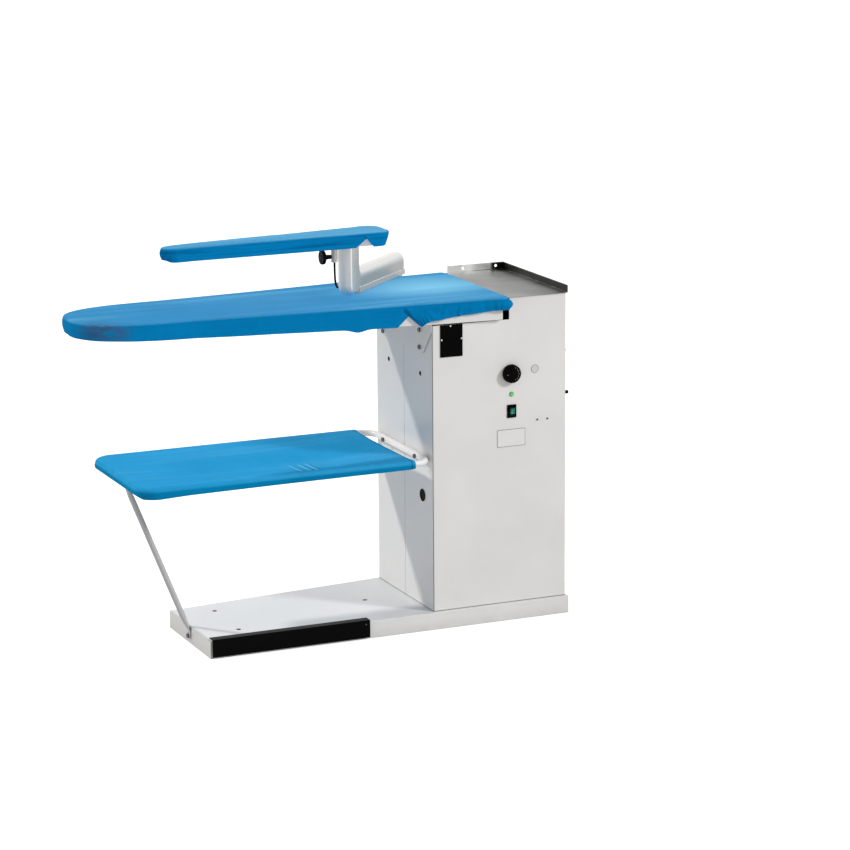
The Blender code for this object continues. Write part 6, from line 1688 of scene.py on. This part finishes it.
@dataclass
class Fastener:
    """One bolt or screw, with its head on the outside and its shank in its hole."""

    name: str
    seat: Vector
    way: Vector
    radius: float
    high: float
    head: Head
    grip: float = 0.006

    def build(self, body: str, finish: Finish, stands_for: Sequence[str] = ()) -> Piece:
        """Makes the fastener and hands it over.

        Args:
            body: The body that it moves with.
            finish: Its finish.
            stands_for: The nodes that it replaces.

        Returns:
            The piece.
        """
        way, seat = self.way, self.seat
        outer = facing(way)
        if self.head is Head.HEXAGON:
            bench = Bench.round_bar(self.name, seat, way, self.radius * 1.28, 0.0012, 36)
            bench.faces(outer).inset(self.radius * 0.28)
            washer = bench.done(0.0003)
            bench = Bench.round_bar(f"{self.name}_head", seat + way * 0.0011, way, self.radius,
                                    self.high - 0.0011, 6)
            bench.faces(outer).inset(0.0009, 0.0005).inset(0.0012, -0.0002)
            nut = bench.done(0.0004)
            joined(self.name, [washer, nut])
            bench = Bench(self.name)
        else:
            bench = Bench.round_bar(self.name, seat, way, self.radius, self.high, 36)
            bench.faces(outer)
            if self.head is Head.SOCKET:
                bench.inset(self.radius * 0.10, self.high * 0.10).inset(self.radius * 0.42, 0.0)
                bench.draw(-way * self.high * 0.6)
            else:
                bench.inset(self.radius * 0.35, self.high * 0.25).inset(self.radius * 0.30, 0.0)
                bench.inset(self.radius * 0.08, -self.high * 0.5)
        bench.faces(lambda c, n: n.dot(way) < -FACING and abs((c - seat).dot(way)) < 0.0002)
        bench.inset(self.radius * 0.52).draw(-way * self.grip)
        piece = bench.done(0.0002)
        return hand_over(piece, body, "plated_steel", finish, stands_for)


@dataclass
class Hardware:
    """The bolts that hold the bracket, the lower frame and the strut."""

    radius: float = 0.0065
    high: float = 0.004
    clear: float = 0.0005

    def build(self) -> None:
        """Makes every bolt."""
        round_headed = ("bracket_bolt_front_upper", "bracket_bolt_front_lower",
                        "bracket_bolt_rear_upper", "bracket_bolt_rear_lower",
                        "lower_frame_bolt_front", "lower_frame_bolt_rear")
        bolts = {node: (-EAST, Head.SOCKET) for node in round_headed}
        bolts |= {"strut_bolt_low": (-EAST, Head.HEXAGON), "strut_bolt_high": (EAST, Head.HEXAGON)}
        for node, (way, head) in bolts.items():
            low, high = (Vector(corner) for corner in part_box(node))
            seat = (low + high) / 2
            seat.x = low.x + self.high if way.x < 0 else high.x - self.high
            grip = high.x - low.x - self.high - self.clear
            Fastener(f"{node}_made", seat, way, self.radius, self.high, head, grip).build(
                "table", DARK_BOLT, [node])
        LOG.info("hardware: %d bolts", len(bolts))


# ---------------------------------------------------------------- front panel
@dataclass
class FrontPanel:
    """What sits on the cabinet's front: knob, lamp, switch, black plate, bare films, screws."""

    knob: Vector = Vector((0.518, -0.2160881, 0.717))
    knob_radius: float = 0.0265
    knob_thick: float = 0.017
    knob_step: float = 0.0022
    numerals: float = 0.0182
    lamp: Vector = Vector((0.521, -0.2148881, 0.657))
    lamp_radius: float = 0.0068
    ribs: int = 56
    mark_rise: float = 0.0046
    sticker: Vector = Vector((0.5936, PANEL_Y - GAP, 0.7231))

    def build_knob(self) -> None:
        """Makes the ribbed control knob with its raised bar, its numerals and its pointer."""
        way, seat = -NORTH, self.knob
        top = seat + way * self.knob_thick
        bench = Bench.round_bar("thermostat_knob_ribbed", seat, way, self.knob_radius * 0.972,
                                self.knob_step, self.ribs * 2)
        bench.faces(facing(way))
        bench.draw(way * (self.knob_thick - 2 * self.knob_step)).scale(0.975, top)
        bench.draw(way * self.knob_step).scale(0.945, top)

        def rib(centre: Vector, normal: Vector) -> bool:
            """Every second face of the grip."""
            turn = math.atan2(centre.z - seat.z, centre.x - seat.x) % (2 * math.pi)
            depth = seat.y - centre.y
            return 0.003 < depth < 0.0145 and int(turn / (math.pi / self.ribs)) % 2 == 0

        bench.faces(rib).inset(0.00025, 0.0007, each=True)
        front = self.knob_thick - 0.001
        bench.faces(lambda c, n: n.dot(way) > FACING and (c - seat).dot(way) > front)
        bench.inset(0.0016).inset(0.0008, -0.0008)
        bench.inset(0.0125).inset(0.0010, 0.0009)
        knob = bench.done(0.00025)
        hand_over(knob, "thermostat", "black_plastic", BLACK_MOULDING, ["thermostat_knob"])
        face = seat + way * (self.knob_thick - 0.0008)
        marks = []
        for k in range(7):
            turn = math.radians(66 - 22 * k)
            spot = face + Vector((math.cos(turn), 0, math.sin(turn))) * self.numerals
            marks.append(letters(str(7 - k), spot, 0.0036, 0.0003))
        spot = face + Vector((-0.0165, 0, -0.0010))
        marks.append(Bench.block("dash", spot - Vector((0.0020, 0.0003, 0.0005)),
                                 spot + Vector((0.0020, 0.0002, 0.0005))).done(0.0001))
        hand_over(joined("dial_numerals", marks), "thermostat", "white_paint", PRINT_GREY)

    def build_lamp(self) -> None:
        """Makes the lamp's domed lens with its collar."""
        way, seat = -NORTH, self.lamp
        bench = Bench.round_bar("pilot_lamp_lens", seat, way, self.lamp_radius, 0.0012, 48)
        bench.faces(facing(way)).inset(0.0006).draw(way * 0.0004)
        for share, step in ((0.97, 0.0008), (0.88, 0.0007), (0.70, 0.0005), (0.42, 0.0003)):
            bench.draw(way * step).scale(share, seat + way * 0.003)
        bench.faces(facing(-way)).inset(0.0016).draw(-way * 0.0215)
        hand_over(bench.done(0.0001), "table", "green_lens", LAMP_LENS, ["pilot_lamp"])

    def build_switch(self) -> None:
        """Makes the bezel and the rocker with its two plain marks."""
        eased("switch_bezel", 0.0009, 3, finish=BLACK_MOULDING)
        rocker = eased("switch_rocker", 0.0008, 3, "rocker", GREEN_ROCKER, math.radians(12))
        low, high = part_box("switch_rocker")
        middle = Vector(((low[0] + high[0]) / 2, low[1], (low[2] + high[2]) / 2))

        def on_face(x: float, z: float) -> Vector:
            """The place on the rocker's face in front of a point of the panel."""
            hit, place, _, _ = rocker.ray_cast(Vector((x, middle.y - 0.02, z)), NORTH)
            return place if hit else Vector((x, middle.y, z))

        spot = on_face(middle.x, middle.z + self.mark_rise)
        stroke = Bench.block("stroke", spot - Vector((0.0005, 0.0003, 0.0020)),
                             spot + Vector((0.0005, 0.0006, 0.0020))).done(0.0001)
        spot = on_face(middle.x, middle.z - self.mark_rise)
        let_go()
        bpy.ops.mesh.primitive_torus_add(major_radius=0.0018, minor_radius=0.00045,
                                         major_segments=28, minor_segments=8,
                                         location=spot, rotation=(QUARTER, 0, 0))
        marks = joined("rocker_marks", [stroke, Bench("ring").done()])
        hand_over(marks, "rocker", "white_paint", PRINT_WHITE)
        LOG.info("front panel: rocker of %d faces", len(rocker.data.polygons))

    def film(self, bench: Bench, rim: tuple[float, float], film: Film) -> None:
        """Finishes a film with a raised rim round its face.

        Args:
            bench: The bench that holds its plain blank.
            rim: How wide the rim is, and how wide its slope.
            film: Its finish.
        """
        bench.faces(facing(-NORTH)).inset(rim[0]).inset(rim[1], -0.0001)
        hand_over(bench.done(0.0001), "table", "pale_plastic", film)

    def build_films(self) -> None:
        """Makes the round sticker and the plate label, both bare, and the small screws."""
        way = -NORTH
        for name, radius, under, thick, rim, film in (
                ("round_sticker", 0.0118, 0.0, 0.0004, (0.0009, 0.0004), DARK_FILM),
                ("round_sticker_face", 0.0108, 0.0004, 0.0002, (0.0012, 0.0003), PALE_FILM)):
            bench = Bench.round_bar(name, self.sticker + way * under, way, radius, thick, 64)
            self.film(bench, rim, film)
        for name, edge, depth, film in (("label_border", 0.0, 0.0005, DARK_FILM),
                                        ("plain_label", 0.0010, 0.0007, SILVER_FILM)):
            low = Vector((0.4762 + edge, PANEL_Y - GAP - depth, 0.5062 + edge))
            high = Vector((0.5634 - edge, PANEL_Y - GAP, 0.5558 - edge))
            bench = Bench.block(name, low, high)
            bench.edges(lambda c, d: abs(d.y) > FACING).bevel(0.0025, 4)
            self.film(bench, (0.0014, 0.0003), film)
        for k, (x, z) in enumerate(((0.6016, 0.5759), (0.6333, 0.5760))):
            Fastener(f"panel_screw_{k + 1}", Vector((x, PANEL_Y - GAP, z)), way, 0.0027, 0.0014,
                     Head.CROSS, 0.0002).build("table", DARK_SCREW)

    def build_plate(self) -> None:
        """Eases the black plate and adds the three small screws at its edges."""
        eased("accessory_plate", 0.0007, 2, finish=BLACK_ENAMEL)
        for k, (x, z) in enumerate(((0.3055, 0.8297), (0.3665, 0.8305), (0.3330, 0.8676))):
            Fastener(f"plate_screw_{k + 1}", Vector((x, PANEL_Y - 0.0024, z)), -NORTH, 0.0024,
                     0.0013, Head.CROSS, 0.0002).build("table", ZINC)

    def build(self) -> None:
        """Makes everything on the panel."""
        self.build_knob()
        self.build_lamp()
        self.build_switch()
        self.build_films()
        self.build_plate()


# ---------------------------------------------------------------- carcass
@dataclass
class Carcass:
    """The sheet-metal body: base, pedal, cabinet, tray, tubes; and the machinery inside."""

    fold: float = 0.0014
    rim: float = 0.004

    def build(self) -> None:
        """Eases what shows and finishes everything else."""
        eased("base_pan", self.fold, 3, finish=BASE_ENAMEL, shortest=self.rim)
        eased("foot_pedal", 0.0012, 3, "pedal", PEDAL_ENAMEL)
        eased("front_shell", 0.0007, finish=CABINET_ENAMEL)
        eased("rear_shell", 0.0007, finish=CABINET_ENAMEL)
        eased("iron_tray", 0.0008, finish=TRAY_STEEL)
        eased("lower_frame", 0.0005, least=math.radians(45), finish=TUBE_ENAMEL)
        eased("strut", 0.0006, finish=STRUT_ENAMEL, least=math.radians(35))
        eased("side_grommet", 0.0006, 3)
        eased("cable_gland", 0.0004)
        eased("side_plug", 0.0004)
        for name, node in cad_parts.items():
            # The inner frame takes near black, as painted shade inside the cabinet.
            finish = INSIDE_SHADE_PAINT if name == "inner_frame" else SLOT_FINISH[SLOT_OF[name]]
            for place in node.material_slots:
                place.material = finish.material()
        screw = Fastener("pedal_end_screw", Vector((0.062, -0.2358, 0.045)), -NORTH, 0.0022, 0.0010,
                         Head.CROSS, 0.0002)
        screw.build("pedal", DARK_SCREW)
        LOG.info("carcass: %d nodes finished", len(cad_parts))


# ---------------------------------------------------------------- studio
@dataclass
class Studio:
    """The camera at the photograph's place, the soft lamps and the pale floor."""

    eye: Vector = Vector((-3.1828, -8.0804, 2.5413))
    yaw: float = 0.412021479
    pitch: float = 0.223138915
    roll: float = -0.00692955
    focal_pixels: float = 3161.1
    picture_pixels: float = 850
    sensor: float = 36
    fill: float = 0.50
    key: float = 1.55
    back: float = 1.68
    floor_lift: float = 0.72
    warmth: Rgb = (1.0, 0.977, 0.945)
    back_hue: Rgb = (1.0, 0.955, 0.895)
    lamps: list = field(default_factory=list)

    def build_camera(self) -> None:
        """Sets the camera."""
        aside, ahead = math.sin(self.yaw), math.cos(self.yaw)
        level = math.cos(self.pitch)
        sight = Vector((aside * level, ahead * level, -math.sin(self.pitch)))
        right = Vector((ahead, -aside, 0))
        above = right.cross(sight)
        side = right * math.cos(self.roll) + above * math.sin(self.roll)
        top = above * math.cos(self.roll) - right * math.sin(self.roll)
        data = bpy.data.cameras.new("photograph")
        data.sensor_width = self.sensor
        data.lens = self.focal_pixels * self.sensor / self.picture_pixels
        data.clip_end = 100
        camera = placed("photograph", data)
        turn = Matrix((side, top, -sight)).transposed().to_4x4()
        camera.matrix_world = Matrix.Translation(self.eye) @ turn
        bpy.context.scene.camera = camera

    def build_lamp(self, name: str, way: Rgb, strength: float, spread: float,
                   hue: Rgb = (1, 1, 1)) -> None:
        """Adds a broad distant lamp.

        Args:
            name: Its name.
            way: Where it shines from.
            strength: Its strength.
            spread: Its angular size, in degrees.
            hue: Its colour.
        """
        data = bpy.data.lights.new(name, "SUN")
        data.color = hue
        data.energy = strength
        data.angle = math.radians(spread)
        lamp = placed(name, data)
        lamp.rotation_euler = Vector(way).to_track_quat("Z", "Y").to_euler()
        self.lamps.append(lamp)

    def spare_shadows(self, names: Sequence[str]) -> None:
        """Keeps some pieces from throwing a hard shadow, as under a very broad overhead lamp.

        Args:
            names: The pieces that the distant lamps shine past.
        """
        passed = bpy.data.collections.new("lamps_shine_past")
        for name in names:
            passed.objects.link(bpy.data.objects[name])
        for entry in passed.collection_objects:
            entry.light_linking.link_state = "EXCLUDE"
        for lamp in self.lamps:
            lamp.light_linking.blocker_collection = passed

    def rays(self, seen: Recipe) -> tuple[Signal, Signal, Signal]:
        """Whether a surface is seen straight, in a reflection or through glass."""
        path = seen.node("ShaderNodeLightPath")
        return tuple(Signal(seen, path.outputs[f"Is {kind} Ray"])
                     for kind in ("Camera", "Glossy", "Transmission"))

    def build_world(self) -> None:
        """Sets the white backdrop and the even fill."""
        seen = Recipe(bpy.data.worlds.new("studio"))
        bpy.context.scene.world = seen.owner
        camera, glossy, through_glass = self.rays(seen)
        shown = camera + glossy * 0.92 + through_glass
        strength = shown + (1 - shown) * self.fill
        hue = seen.blend(shown.at_most(1.0), self.warmth, (1, 1, 1))
        light = seen.node("ShaderNodeBackground", None, {"Color": hue, "Strength": strength})
        seen.node("ShaderNodeOutputWorld", None, {0: light.outputs[0]})

    def build_floor(self) -> None:
        """Lays the pale floor, which the camera sees as white but for the table's shadow and a
        near-black patch of painted shade under the base.
        """
        let_go()
        bpy.ops.mesh.primitive_plane_add(size=60, location=(0, 0, -0.0005))
        floor = bpy.context.active_object
        floor.name = "studio_floor"
        bpy.ops.object.transform_apply(location=True)
        seen = Recipe(bpy.data.materials.new("studio_floor"))
        camera, glossy, through_glass = self.rays(seen)
        x, y, _ = seen.axes(seen.place())
        # Painted shade: the floor under the base is near black and gets no lift.
        under = seen.within(x, -0.370, 0.686, 0.002) * seen.within(y, -0.206, 0.120, 0.002)
        tone = seen.blend(under, grey(0.62), grey(0.01))
        matt = seen.node("ShaderNodeBsdfDiffuse", None, {"Color": tone})
        shown = (camera + glossy + through_glass) * (1 - under)
        lift = seen.node("ShaderNodeEmission", None,
                         {"Color": (1, 1, 1, 1), "Strength": shown * self.floor_lift})
        both = seen.node("ShaderNodeAddShader", None, {0: matt.outputs[0], 1: lift.outputs[0]})
        seen.node("ShaderNodeOutputMaterial", None, {0: both.outputs[0]})
        floor.data.materials.append(seen.owner)

    def build(self) -> None:
        """Sets the whole studio."""
        self.build_world()
        self.build_lamp("key_lamp", (0.62, -0.62, 0.48), self.key, 9)
        self.build_lamp("back_lamp", (-0.62, 0.50, 0.60), self.back, 3.5, self.back_hue)
        self.build_floor()
        bpy.context.scene.view_settings.view_transform = "Standard"
        LOG.info("studio: camera, two lamps and floor")


def main() -> None:
    """Builds the table's sub-assemblies in order."""
    logging.basicConfig(level=logging.INFO, format="%(name)s: %(message)s")
    studio = Studio()
    studio.build_camera()
    arm = SwivelArm()
    arm.build_lead()
    studio.build()
    Carcass().build()
    Board().build()
    arm.build()
    SleeveBoard().build()
    LowerTray().build()
    FrontPanel().build()
    Hardware().build()
    studio.spare_shadows(("arm_duct_finished", "arm_duct_lip_finished", "sleeve_cover_cloth",
                          "sleeve_pad_foam", "sleeve_shell_finished", "sleeve_plate",
                          "sleeve_clamp_tube_finished", "sleeve_clamp_grip", "sleeve_lead_cord",
                          "sleeve_rod"))


if __name__ == "__main__":
    main()
